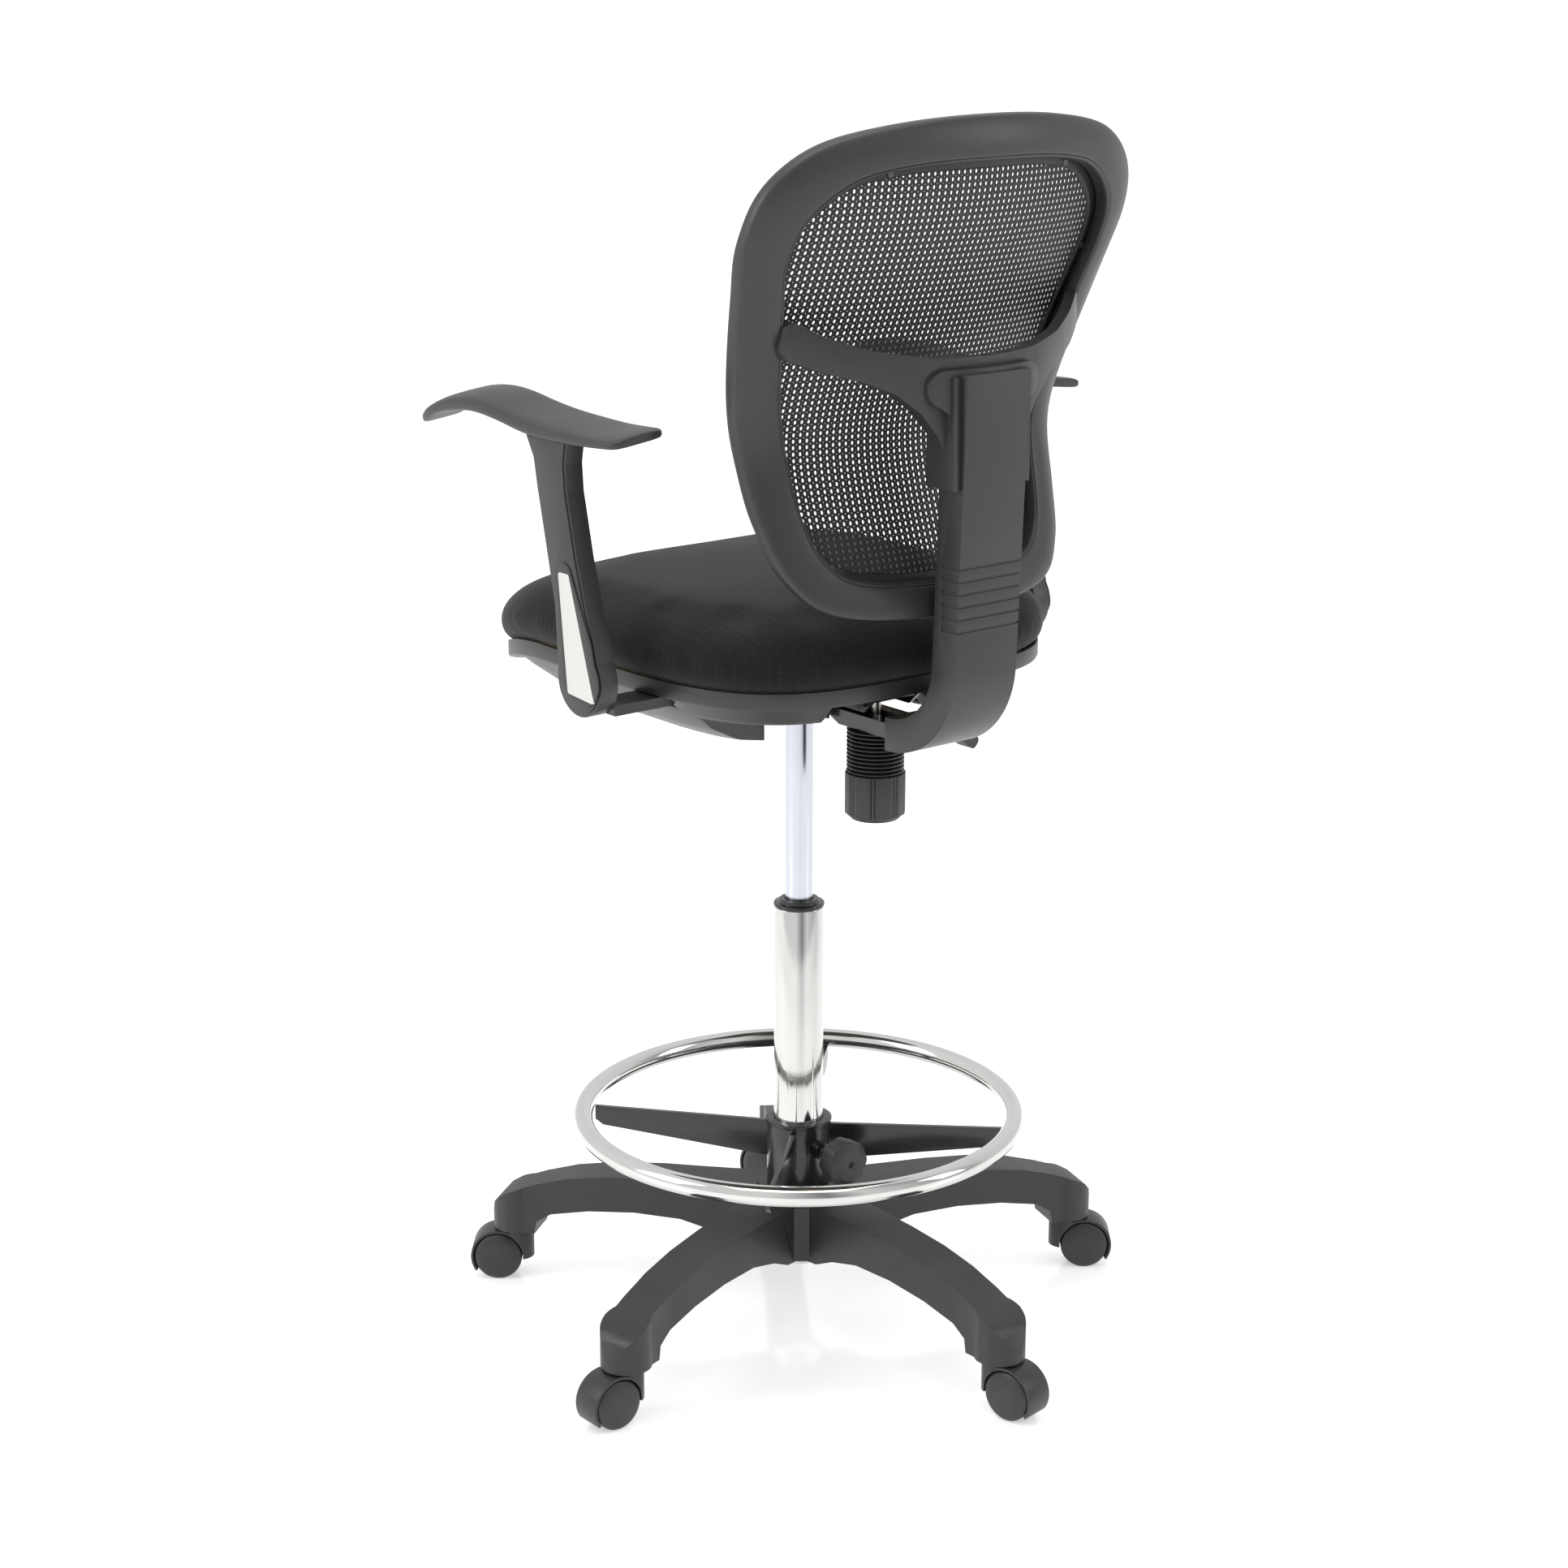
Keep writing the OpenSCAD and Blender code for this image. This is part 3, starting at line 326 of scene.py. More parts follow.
@dataclass(frozen=True)
class WovenCloth:
    """Close upholstery weave.

    Attributes:
        name: The material's name.
        tone: Grey level of the yarn.
        pitch: Distance between two yarns.
    """

    name: str
    tone: float
    pitch: float = 0.0012

    def make(self) -> Finish:
        """Builds the material."""
        r = Recipe(self.name)
        count = 1 / (20 * self.pitch)
        warp, weft = r.lines(Direction.ALONG_X, count), r.lines(Direction.ALONG_Y, count)
        rise = r.lines(Direction.ALONG_Z, count)
        weave = r.product(r.remap(warp, 0.35, 1.0), r.remap(weft, 0.35, 1.0))
        cloth = r.product(weave, r.remap(rise, 0.6, 1.0))
        base, light = (self.tone * 0.75,) * 3, (self.tone * 1.8,) * 3
        shade = r.product(cloth, r.remap(r.noise(35.0, 4.0), 0.6, 1.2))
        r.colour(r.blend(shade, base, light))
        r.rough(r.remap(r.noise(400.0, 2.0), 0.86, 0.98))
        r.set(Specular_IOR_Level=0.25, Sheen_Weight=0.12, Sheen_Roughness=0.5)
        r.bump(cloth, 0.0003, 0.6)
        return r.material


@dataclass(frozen=True)
class KnittedYarn:
    """Yarn of the stretched back mesh.

    Attributes:
        name: The material's name.
        tone: Grey level of the yarn.
    """

    name: str
    tone: float

    def make(self) -> Finish:
        """Builds the material."""
        r = Recipe(self.name)
        twist = r.noise(1.0, 3.0, r.stretched((1500.0, 1500.0, 700.0)))
        dark, light = (self.tone * 0.35,) * 3, (self.tone * 2.4, self.tone * 2.3, self.tone * 2.2)
        r.colour(r.blend(r.remap(twist, -0.5, 1.5), dark, light))
        r.rough(r.remap(r.noise(300.0), 0.5, 0.75))
        r.set(Specular_IOR_Level=0.4)
        r.bump(twist, 0.0003, 0.7)
        return r.material


@dataclass(frozen=True)
class Rubber:
    """Moulded rubber.

    Attributes:
        name: The material's name.
        tone: Grey level.
        roughness: Mean roughness.
    """

    name: str
    tone: float
    roughness: float

    def make(self) -> Finish:
        """Builds the material."""
        r = Recipe(self.name)
        low, high = (self.tone,) * 3, (self.tone * 1.7,) * 3
        r.colour(r.blend(r.noise(90.0, 3.0), low, high))
        sheen = r.remap(r.noise(60.0, 3.0), self.roughness - 0.08, self.roughness + 0.08)
        r.rough(sheen)
        r.set(Specular_IOR_Level=0.5)
        r.bump(r.noise(700.0, 2.0), 0.00005, 0.5)
        return r.material


@dataclass(frozen=True)
class SatinInlay:
    """Silver painted plastic with a fine metal fleck."""

    name: str = "silver_inlay"

    def make(self) -> Finish:
        """Builds the material."""
        r = Recipe(self.name)
        fleck = r.noise(2200.0, 1.0)
        r.colour(r.blend(fleck, (0.56, 0.57, 0.55), (0.66, 0.67, 0.64)))
        r.rough(r.remap(fleck, 0.3, 0.5))
        r.set(Metallic=0.35, Specular_IOR_Level=0.5)
        r.bump(fleck, 0.00003, 0.3)
        return r.material


@dataclass(frozen=True)
class Plywood:
    """Bare moulded plywood with its edge plies."""

    name: str = "plywood"

    def make(self) -> Finish:
        """Builds the material."""
        r = Recipe(self.name)
        flame = r.noise(1.0, 5.0, r.stretched((60.0, 6.0, 400.0)))
        r.colour(r.blend(flame, (0.36, 0.24, 0.13), (0.58, 0.43, 0.26)))
        r.rough(r.remap(flame, 0.5, 0.7))
        r.bump(flame, 0.0001, 0.4)
        return r.material


class Palette:
    """Every finish of the chair, each made once."""

    def __init__(self) -> None:
        """Builds the materials."""
        self.shell = MouldedPlastic("textured_plastic", 0.020, roughness=0.40, depth=0.00008).make()
        self.pad = MouldedPlastic("arm_pad_skin", 0.019, roughness=0.44, cell=0.0016, depth=0.00012).make()
        self.base = MouldedPlastic("base_nylon", 0.017, roughness=0.42, cell=0.0014, depth=0.0001).make()
        self.caster = MouldedPlastic("caster_plastic", 0.016, 0.0, 0.42, 0.0009, 0.00008).make()
        self.knob = MouldedPlastic("soft_black_plastic", 0.022, 0.0, 0.52, 0.0009, 0.0001).make()
        self.carrier = MouldedPlastic("carrier_plastic", 0.010, 0.0, 0.42, 0.0012, 0.0001).make()
        self.collar = MouldedPlastic("collar_plastic", 0.009, 0.0, 0.24, 0.0012, 0.00004).make()
        self.chrome = PolishedMetal("chromed_tube", (0.66, 0.67, 0.65), 0.09).make()
        self.piston = PolishedMetal("ground_piston", (0.58, 0.60, 0.65), 0.22, 0.4).make()
        self.steel = PolishedMetal("steel", (0.56, 0.55, 0.53), 0.3, 0.3).make()
        self.bronze = PolishedMetal("yellow_zinc", (0.42, 0.30, 0.17), 0.32, 0.3).make()
        self.paint = PaintedSteel("black_painted_steel", 0.009).make()
        self.fabric = WovenCloth("seat_fabric", 0.0045).make()
        self.yarn = KnittedYarn("back_mesh", 0.016).make()
        self.tread = Rubber("caster_wheel", 0.017, 0.46).make()
        self.rubber = Rubber("bellows_rubber", 0.009, 0.27).make()
        self.inlay = SatinInlay().make()
        self.plywood = Plywood().make()
        self.screw = PaintedSteel("black_screw", 0.02, 0.3).make()


# ---- Workbench ----


def drop_selection() -> None:
    """Leaves edit mode and deselects everything."""
    if bpy.context.object and bpy.context.object.mode != "OBJECT":
        bpy.ops.object.mode_set(mode="OBJECT")
    bpy.ops.object.select_all(action="DESELECT")


def pick(obj: Thing) -> None:
    """Makes obj the only selected and the active object."""
    drop_selection()
    obj.select_set(True)
    bpy.context.view_layer.objects.active = obj


def smooth_loop(points: Sequence[Point2], steps: int) -> list[Point2]:
    """Closed smooth curve through points.

    Args:
        points: The corners, in order.
        steps: Points laid along each stretch.

    Returns:
        The curve's points.
    """
    n, out = len(points), []
    for i in range(n):
        a, b, c, d = points[i - 1], points[i], points[(i + 1) % n], points[(i + 2) % n]
        for k in range(steps):
            t = k / steps
            out.append(tuple(
                0.5 * (2 * b[q] + (c[q] - a[q]) * t + (2 * a[q] - 5 * b[q] + 4 * c[q] - d[q]) * t**2
                       + (3 * b[q] - a[q] - 3 * c[q] + d[q]) * t**3)
                for q in (0, 1)))
    return out


def along(points: Sequence[Point2], at: float) -> float:
    """Height of a smooth line through points at a place along it.

    Args:
        points: (place, height) pairs with rising places.
        at: The place.

    Returns:
        The height there.
    """
    if at <= points[0][0]:
        return points[0][1]
    for i in range(len(points) - 1):
        p, q = points[i], points[i + 1]
        if at <= q[0]:
            t = (at - p[0]) / (q[0] - p[0])
            before, after = points[max(0, i - 1)], points[min(len(points) - 1, i + 2)]
            m0 = (q[1] - before[1]) / (q[0] - before[0]) * (q[0] - p[0])
            m1 = (after[1] - p[1]) / (after[0] - p[0]) * (q[0] - p[0])
            return ((2 * t**3 - 3 * t**2 + 1) * p[1] + (t**3 - 2 * t**2 + t) * m0
                    + (3 * t**2 - 2 * t**3) * q[1] + (t**3 - t**2) * m1)
    return points[-1][1]


def middle(ring: Ring) -> Ring:
    """A ring shrunk to its middle, which closes an end."""
    mid = sum(ring, Vector()) / len(ring)
    return [mid.copy() for _ in ring]


def skin(name: str, rings: Sequence[Ring]) -> Thing:
    """Draws a surface over rings of points.

    A grid is laid out, moved ring by ring into place and closed along its seam. Rings shrunk to a
    point close an end, and a last ring equal to the first closes the surface on itself.

    Args:
        name: The piece's name.
        rings: Rings of equally many points.

    Returns:
        The piece.
    """
    rows, around = len(rings) - 1, len(rings[0])
    drop_selection()
    bpy.ops.mesh.primitive_grid_add(x_subdivisions=around, y_subdivisions=rows, size=2)
    obj = bpy.context.object
    obj.name = obj.data.name = name
    for v in obj.data.vertices:
        i, j = round((v.co.x + 1) / 2 * around), round((v.co.y + 1) / 2 * rows)
        v.co = rings[j][i % around]
    close_up(obj, 1e-6)
    return obj


def close_up(obj: Thing, reach: float) -> None:
    """Merges doubled points and turns every face outwards.

    Args:
        obj: The piece.
        reach: Distance within which points are merged.
    """
    pick(obj)
    bpy.ops.object.mode_set(mode="EDIT")
    bpy.ops.mesh.select_all(action="SELECT")
    bpy.ops.mesh.remove_doubles(threshold=reach)
    bpy.ops.mesh.normals_make_consistent(inside=False)
    bpy.ops.object.mode_set(mode="OBJECT")


def apply(obj: Thing, kind: str, **settings: object) -> None:
    """Adds a modifier and applies it at once.

    Args:
        obj: The piece.
        kind: The modifier's type.
        **settings: The modifier's options.
    """
    pick(obj)
    made = obj.modifiers.new(kind.title(), kind)
    for key, value in settings.items():
        setattr(made, key, value)
    bpy.ops.object.modifier_apply(modifier=made.name)


def turned(name: str, profile: Sequence[Point2], steps: int = 64) -> Thing:
    """Turns a profile around the Z axis.

    Args:
        name: The piece's name.
        profile: (radius, height) pairs from one end to the other.
        steps: Points around.

    Returns:
        The piece.
    """
    turns = [2 * math.pi * k / steps for k in range(steps)]
    return skin(name, [[Vector((r * math.cos(a), r * math.sin(a), z)) for a in turns] for r, z in profile])


def copied(obj: Thing, name: str, place: Matrix) -> Thing:
    """Copies a piece with its own mesh to another place.

    Args:
        obj: The piece.
        name: The copy's name.
        place: Where the copy goes.

    Returns:
        The copy.
    """
    twin = bpy.data.objects.new(name, obj.data.copy())
    twin.data.name = name
    twin.data.transform(place)
    bpy.context.scene.collection.objects.link(twin)
    return twin


def settled(obj: Thing) -> None:
    """Puts an object's place, turn and size into its mesh."""
    bpy.context.view_layer.update()
    obj.data.transform(obj.matrix_world)
    obj.matrix_world = Matrix.Identity(4)


def joined(parts: Sequence[Thing], name: str) -> Thing:
    """Joins pieces into one.

    Args:
        parts: The pieces.
        name: The joined piece's name.

    Returns:
        The joined piece.
    """
    drop_selection()
    for part in parts:
        part.select_set(True)
    bpy.context.view_layer.objects.active = parts[0]
    if len(parts) > 1:
        bpy.ops.object.join()
    parts[0].name = parts[0].data.name = name
    return parts[0]


def softened(node: str, name: str, edge: float, segments: int = 3, sharp: float = 32.0) -> Thing:
    """Copies a CAD node and rounds its edges.

    Args:
        node: The CAD node.
        name: The new piece's name.
        edge: Radius of the rounding.
        segments: Faces across the rounding.
        sharp: Angle in degrees from which an edge is rounded.

    Returns:
        The piece.
    """
    obj = copied(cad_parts[node], name, Matrix.Identity(4))
    for key in list(obj.data.attributes.keys()):
        if key.startswith("sharp") or key == "custom_normal":
            obj.data.attributes.remove(obj.data.attributes[key])
    close_up(obj, 3e-5)
    bpy.ops.object.mode_set(mode="EDIT")
    bpy.ops.mesh.select_all(action="SELECT")
    bpy.ops.mesh.dissolve_limited(angle_limit=math.radians(0.8))
    bpy.ops.object.mode_set(mode="OBJECT")
    apply(obj, "BEVEL", width=edge, segments=segments, limit_method="ANGLE", angle_limit=math.radians(sharp),
          use_clamp_overlap=True, miter_outer="MITER_ARC")
    return obj


def dressed(
    obj: Thing, finish: Finish, body: str, *nodes: str, angle: float = 40.0
) -> Thing:
    """Gives a piece its finish and its body, and lets it stand for CAD nodes.

    Args:
        obj: The piece.
        finish: Its material.
        body: The CAD body that it rides on.
        *nodes: The CAD nodes that it replaces.
        angle: Angle in degrees below which shading runs smoothly over an edge.

    Returns:
        The piece.
    """
    pick(obj)
    bpy.ops.object.shade_smooth_by_angle(angle=math.radians(angle))
    obj.data.materials.clear()
    obj.data.materials.append(finish)
    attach(obj, body)
    if nodes:
        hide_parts(*nodes)
    log.info("%s: %d faces", obj.name, len(obj.data.polygons))
    return obj


def rounded(
    node: str, name: str, edge: float, finish: Finish, body: str,
    segments: int = 3, sharp: float = 32.0, angle: float = 40.0,
) -> None:
    """Rounds a CAD node's edges and dresses it.

    Args:
        node: The CAD node.
        name: The piece's name.
        edge: Width of the rounding.
        finish: Its material.
        body: The body that it rides on.
        segments: Steps across the rounding.
        sharp: Smallest angle of an edge that is rounded.
        angle: Smallest angle that stays a crisp line.
    """
    dressed(softened(node, name, edge, segments, sharp), finish, body, node, angle=angle)


def repaint(node: str, finish: Finish) -> None:
    """Gives a CAD node that stays its finish.

    Args:
        node: The CAD node.
        finish: Its material.
    """
    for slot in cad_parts[node].material_slots:
        slot.material = finish


# ---- Back ----


@dataclass
class BackShape:
    """The back's curved surface and outlines.

    Attributes:
        width: Greatest width of the frame.
        height: Height of the frame.
        foot: Height of its lower edge.
        bend: Radius of the curve around the sitter.
        rim: Half outline of the rim from the top down, as shares of half width and height.
        opening: Half outline of the opening, in the same shares.
        steps: Points along each stretch of an outline.
    """

    width: float = 0.454
    height: float = 0.455
    foot: float = 0.776
    bend: float = 0.480
    rim: tuple[Point2, ...] = (
        (0, 1), (0.41, 0.99), (0.742, 0.956), (0.939, 0.881), (1, 0.778), (0.965, 0.657),
        (0.9, 0.492), (0.83, 0.338), (0.795, 0.207), (0.72, 0.092), (0.533, 0.022), (0, 0))
    opening: tuple[Point2, ...] = (
        (0, 0.914), (0.371, 0.908), (0.62, 0.882), (0.782, 0.815), (0.825, 0.735), (0.785, 0.635),
        (0.715, 0.481), (0.652, 0.338), (0.625, 0.22), (0.57, 0.136), (0.42, 0.085), (0, 0.068))
    steps: int = 7

    def __post_init__(self) -> None:
        """Lays out both outlines."""
        self.outer = self.outline(self.rim)
        self.inner = self.outline(self.opening)

    def outline(self, half: Sequence[Point2]) -> list[Point2]:
        """Whole outline from its half.

        Args:
            half: Points from the top to the bottom on one side.

        Returns:
            Points all around, in metres.
        """
        whole = list(half) + [(-x, z) for x, z in reversed(half[1:-1])]
        return [(x * self.width / 2, self.foot + z * self.height) for x, z in smooth_loop(whole, self.steps)]

    def lean(self, z: float) -> float:
        """How far back the surface lies at height z on the centre line."""
        d = z - self.foot - 0.159
        slope = 0.455 if d > 0 else 0.38
        return 0.184 + slope * (math.hypot(d, 0.04) - 0.04) - 3.0 * max(0.0, d - 0.185) ** 2

    def surface(self, x: float, z: float) -> float:
        """How far back the surface lies at x and z."""
        return self.lean(z) - x * x / (2 * self.bend)

    def across(self, i: int, share: float, depth: float) -> Vector:
        """Point on a line from the rim to the opening.

        Args:
            i: Place around the outline.
            share: 0 at the rim, 1 at the opening.
            depth: Distance behind the surface.

        Returns:
            The point.
        """
        (x0, z0), (x1, z1) = self.outer[i], self.inner[i]
        x, z = x0 + (x1 - x0) * share, z0 + (z1 - z0) * share
        return Vector((x, self.surface(x, z) + depth, z))

    def band(self, name: str, section: Sequence[Point2]) -> Thing:
        """Carries a section around the back.

        Args:
            name: The piece's name.
            section: (share, depth) pairs, closed.

        Returns:
            The piece.
        """
        rings = [[self.across(i, s, d) for s, d in section] for i in range(len(self.outer))]
        return skin(name, rings + rings[:1])


@dataclass
class MeshBack:
    """Frame, mesh carrier and stretched mesh of the back.

    Attributes:
        shape: The curved surface that they follow.
        pitch_x: Distance between two columns of holes.
        pitch_z: Distance between two rows of holes.
        hole: Half width and half height of a large hole.
        dot: Half width of the small hole between them.
        yarn: Thickness of the mesh.
    """

    shape: BackShape = field(default_factory=BackShape)
    pitch_x: float = 0.0066
    pitch_z: float = 0.0059
    hole: Point2 = (0.00110, 0.0017)
    dot: float = 0.0006
    yarn: float = 0.0006

    def build(self, palette: Palette) -> None:
        """Builds the whole back."""
        self.frame(palette)
        self.carrier(palette)
        self.mesh(palette)
        repaint("carrier_screws", palette.screw)

    def frame(self, palette: Palette) -> None:
        """Broad rounded frame with a thin raised lip along its opening."""
        section = [(0.0, -0.0135), (-0.012, -0.008), (0.0, -0.0022), (0.06, 0.0004), (0.2, 0.0024),
                   (0.4, 0.0038),
                   (0.6, 0.0039), (0.8, 0.0028), (0.9, 0.0018), (0.925, 0.0006), (0.95, 0.0012), (0.985, 0.0),
                   (1.01, -0.004), (1.01, -0.012), (0.98, -0.0158), (0.75, -0.0158), (0.4, -0.0146),
                   (0.1, -0.0144)]
        obj = self.shape.band("back_frame_rim", smooth_loop(section, 2))
        dressed(obj, palette.shell, "back", "back_frame", angle=60)

    def carrier(self, palette: Palette) -> None:
        """Dark flange in front of the frame that grips the mesh."""
        section = [(0.60, -0.0220), (0.55, -0.0190), (0.60, -0.0159), (0.9, -0.0159), (1.18, -0.0161),
                   (1.22, -0.0190), (1.18, -0.0220)]
        obj = self.shape.band("mesh_carrier_flange", section)
        dressed(obj, palette.carrier, "back", "mesh_carrier", angle=50)

    def cell(self) -> Thing:
        """One cell of the mesh: a long hole, with a quarter of a small hole at each corner."""
        hx, hz = self.hole
        w, h, c = self.pitch_x / 2, self.pitch_z / 2, self.dot
        inner = [(hx, -hz * 0.5), (hx, hz * 0.5), (hx * 0.45, hz), (-hx * 0.45, hz),
                 (-hx, hz * 0.5), (-hx, -hz * 0.5), (-hx * 0.45, -hz), (hx * 0.45, -hz)]
        outer = [(w, c - h), (w, h - c), (w - c, h), (c - w, h),
                 (-w, h - c), (-w, c - h), (c - w, -h), (w - c, -h)]
        return skin("knit", [[Vector((x, 0, z)) for x, z in ring] for ring in (inner, outer)])

    def mesh(self, palette: Palette) -> None:
        """Knitted mesh stretched over the carrier."""
        s = self.shape
        left, low = -0.2, s.foot + 0.01
        columns, rows = round(0.4 / self.pitch_x), round((s.height - 0.02) / self.pitch_z)
        obj = self.cell()
        apply(obj, "ARRAY", count=columns, use_relative_offset=False, use_constant_offset=True,
              constant_offset_displace=(self.pitch_x, 0, 0), use_merge_vertices=True, merge_threshold=1e-5)
        apply(obj, "ARRAY", count=rows, use_relative_offset=False, use_constant_offset=True,
              constant_offset_displace=(0, 0, self.pitch_z), use_merge_vertices=True, merge_threshold=1e-5)
        edge = [s.across(i, 1.14, 0) for i in range(len(s.outer))]
        obj.data.transform(Matrix.Translation((left, 0, low)))
        drop_selection()
        pick(obj)
        bpy.ops.object.mode_set(mode="EDIT")
        work = bmesh.from_edit_mesh(obj.data)
        for face in work.faces:
            mid = face.calc_center_median()
            face.select_set(not inside(mid.x, mid.z, edge))
        bmesh.update_edit_mesh(obj.data)
        bpy.ops.mesh.delete(type="FACE")
        bpy.ops.object.mode_set(mode="OBJECT")
        for v in obj.data.vertices:
            v.co.y = s.surface(v.co.x, v.co.z) - 0.0190
        apply(obj, "SOLIDIFY", thickness=self.yarn, offset=0.0)
        obj.name = obj.data.name = "stretched_mesh"
        dressed(obj, palette.yarn, "back", "back_mesh", angle=30)


def inside(x: float, z: float, loop: Sequence[Vector]) -> bool:
    """Whether a point lies inside a loop in the XZ plane.

    Args:
        x: The point's X.
        z: The point's Z.
        loop: The loop's points.

    Returns:
        True if it lies inside.
    """
    hit = False
    for a, b in zip(loop, loop[1:] + loop[:1]):
        if (a.z > z) != (b.z > z) and x < a.x + (z - a.z) / (b.z - a.z) * (b.x - a.x):
            hit = not hit
    return hit


class Spine:
    """Spine's cover, crossbar and steel bar."""

    def build(self, palette: Palette) -> None:
        """Rounds the cover and the crossbar, and paints the bar."""
        rounded("spine_cover", "spine_shell", 0.0042, palette.shell, "back", segments=4)
        rounded("back_yoke", "crossbar", 0.0035, palette.shell, "back")
        repaint("back_bar", palette.paint)


# ---- Seat ----


@dataclass
class Seat:
    """Cushion, underside cover and plywood pan.

    Attributes:
        width: Width of the rim.
        length: Depth of the rim.
        middle_y: Centre of the rim.
        rim_z: Height of the rim.
        thick: Height of the cushion above the rim.
        swell: Farthest that the pressed cushion may move.
        front_y: Where the front starts to curve down.
        front_drop: How fast it curves down.
        frames: Steps of the cloth that presses the cushion.
    """

    width: float = 0.434
    length: float = 0.480
    middle_y: float = -0.046
    rim_z: float = 0.712
    thick: float = 0.0645
    swell: float = 0.006
    front_y: float = -0.130
    front_drop: float = 1.8
    frames: int = 20

    def ring(self, inset: float, z: float, follow: float = 1.0, count: int = 96) -> Ring:
        """Points around the seat.

        Args:
            inset: Distance in from the rim.
            z: Height.
            follow: Share of the front's downward curve that the ring follows.
            count: Points around.

        Returns:
            The ring.
        """
        out = []
        for k in range(count):
            a = 2 * math.pi * k / count
            c, s = math.cos(a), math.sin(a)
            x = (self.width / 2 - inset) * math.copysign(abs(c) ** (2 / 3.5), c)
            y = self.middle_y + (self.length / 2 - inset) * math.copysign(abs(s) ** (2 / 3.5), s)
            out.append(Vector((x, y, z - follow * self.droop(y))))
        return out

    def droop(self, y: float) -> float:
        """How far the front has curved down at y."""
        return self.front_drop * max(0.0, self.front_y - y) ** 2

    def build(self, palette: Palette) -> None:
        """Builds the seat."""
        self.cushion(palette)
        rounded("seat_shell", "seat_underside", 0.0012, palette.shell, "seat", segments=2, sharp=40, angle=32)
        repaint("seat_pan", palette.plywood)

    def cushion(self, palette: Palette) -> None:
        """Crowned cushion, pressed from inside as foam fills its cover."""
        z, h = self.rim_z + 0.0004, self.thick
        levels = [(0.0036, -0.045), (0.0030, 0.0), (0.0016, 0.03), (-0.0035, 0.12), (-0.0066, 0.24),
                  (-0.0074, 0.38), (-0.0050, 0.52), (0.0010, 0.65), (0.012, 0.78), (0.028, 0.87),
                  (0.052, 0.93), (0.085, 0.965), (0.120, 0.985), (0.165, 0.995)]
        rings = [self.ring(inset, z + h * share) for inset, share in levels]
        under = [self.ring(inset, z + h * levels[0][1]) for inset in (0.15, 0.08, 0.03)]
        obj = skin("seat_cushion_cover", [middle(rings[0]), *under, *rings, middle(rings[-1])])
        self.press(obj)
        dressed(obj, palette.fabric, "seat", "seat_cushion", angle=60)

    def press(self, obj: Thing) -> None:
        """Swells the cushion with cloth under pressure, held along its rim.

        Args:
            obj: The cushion.
        """
        apply(obj, "REMESH", mode="VOXEL", voxel_size=0.006)
        rest = [v.co.copy() for v in obj.data.vertices]
        held = obj.vertex_groups.new(name="rim")
        for v in obj.data.vertices:
            low = self.rim_z + 0.012 - self.droop(v.co.y)
            held.add([v.index], max(0.0, min(1.0, (low - v.co.z) / 0.008)), "REPLACE")
        pick(obj)
        cloth = obj.modifiers.new("Press", "CLOTH")
        cloth.settings.effector_weights.gravity = 0.0
        cloth.settings.use_pressure = True
        cloth.settings.uniform_pressure_force = 4.0
        cloth.settings.vertex_group_mass = "rim"
        cloth.settings.tension_stiffness = cloth.settings.compression_stiffness = 25.0
        cloth.settings.bending_stiffness = 12.0
        cloth.point_cache.frame_end = self.frames
        for step in range(1, self.frames + 1):
            bpy.context.scene.frame_set(step)
        bpy.ops.object.modifier_apply(modifier=cloth.name)
        bpy.context.scene.frame_set(1)
        for v, start in zip(obj.data.vertices, rest):
            move = v.co - start
            if move.length > self.swell:
                v.co = start + move.normalized() * self.swell
            v.co.z = max(v.co.z, start.z - 0.001)
        apply(obj, "SMOOTH", factor=0.5, iterations=12)
        apply(obj, "SUBSURF", levels=1, render_levels=1)


# ---- Armrests ----


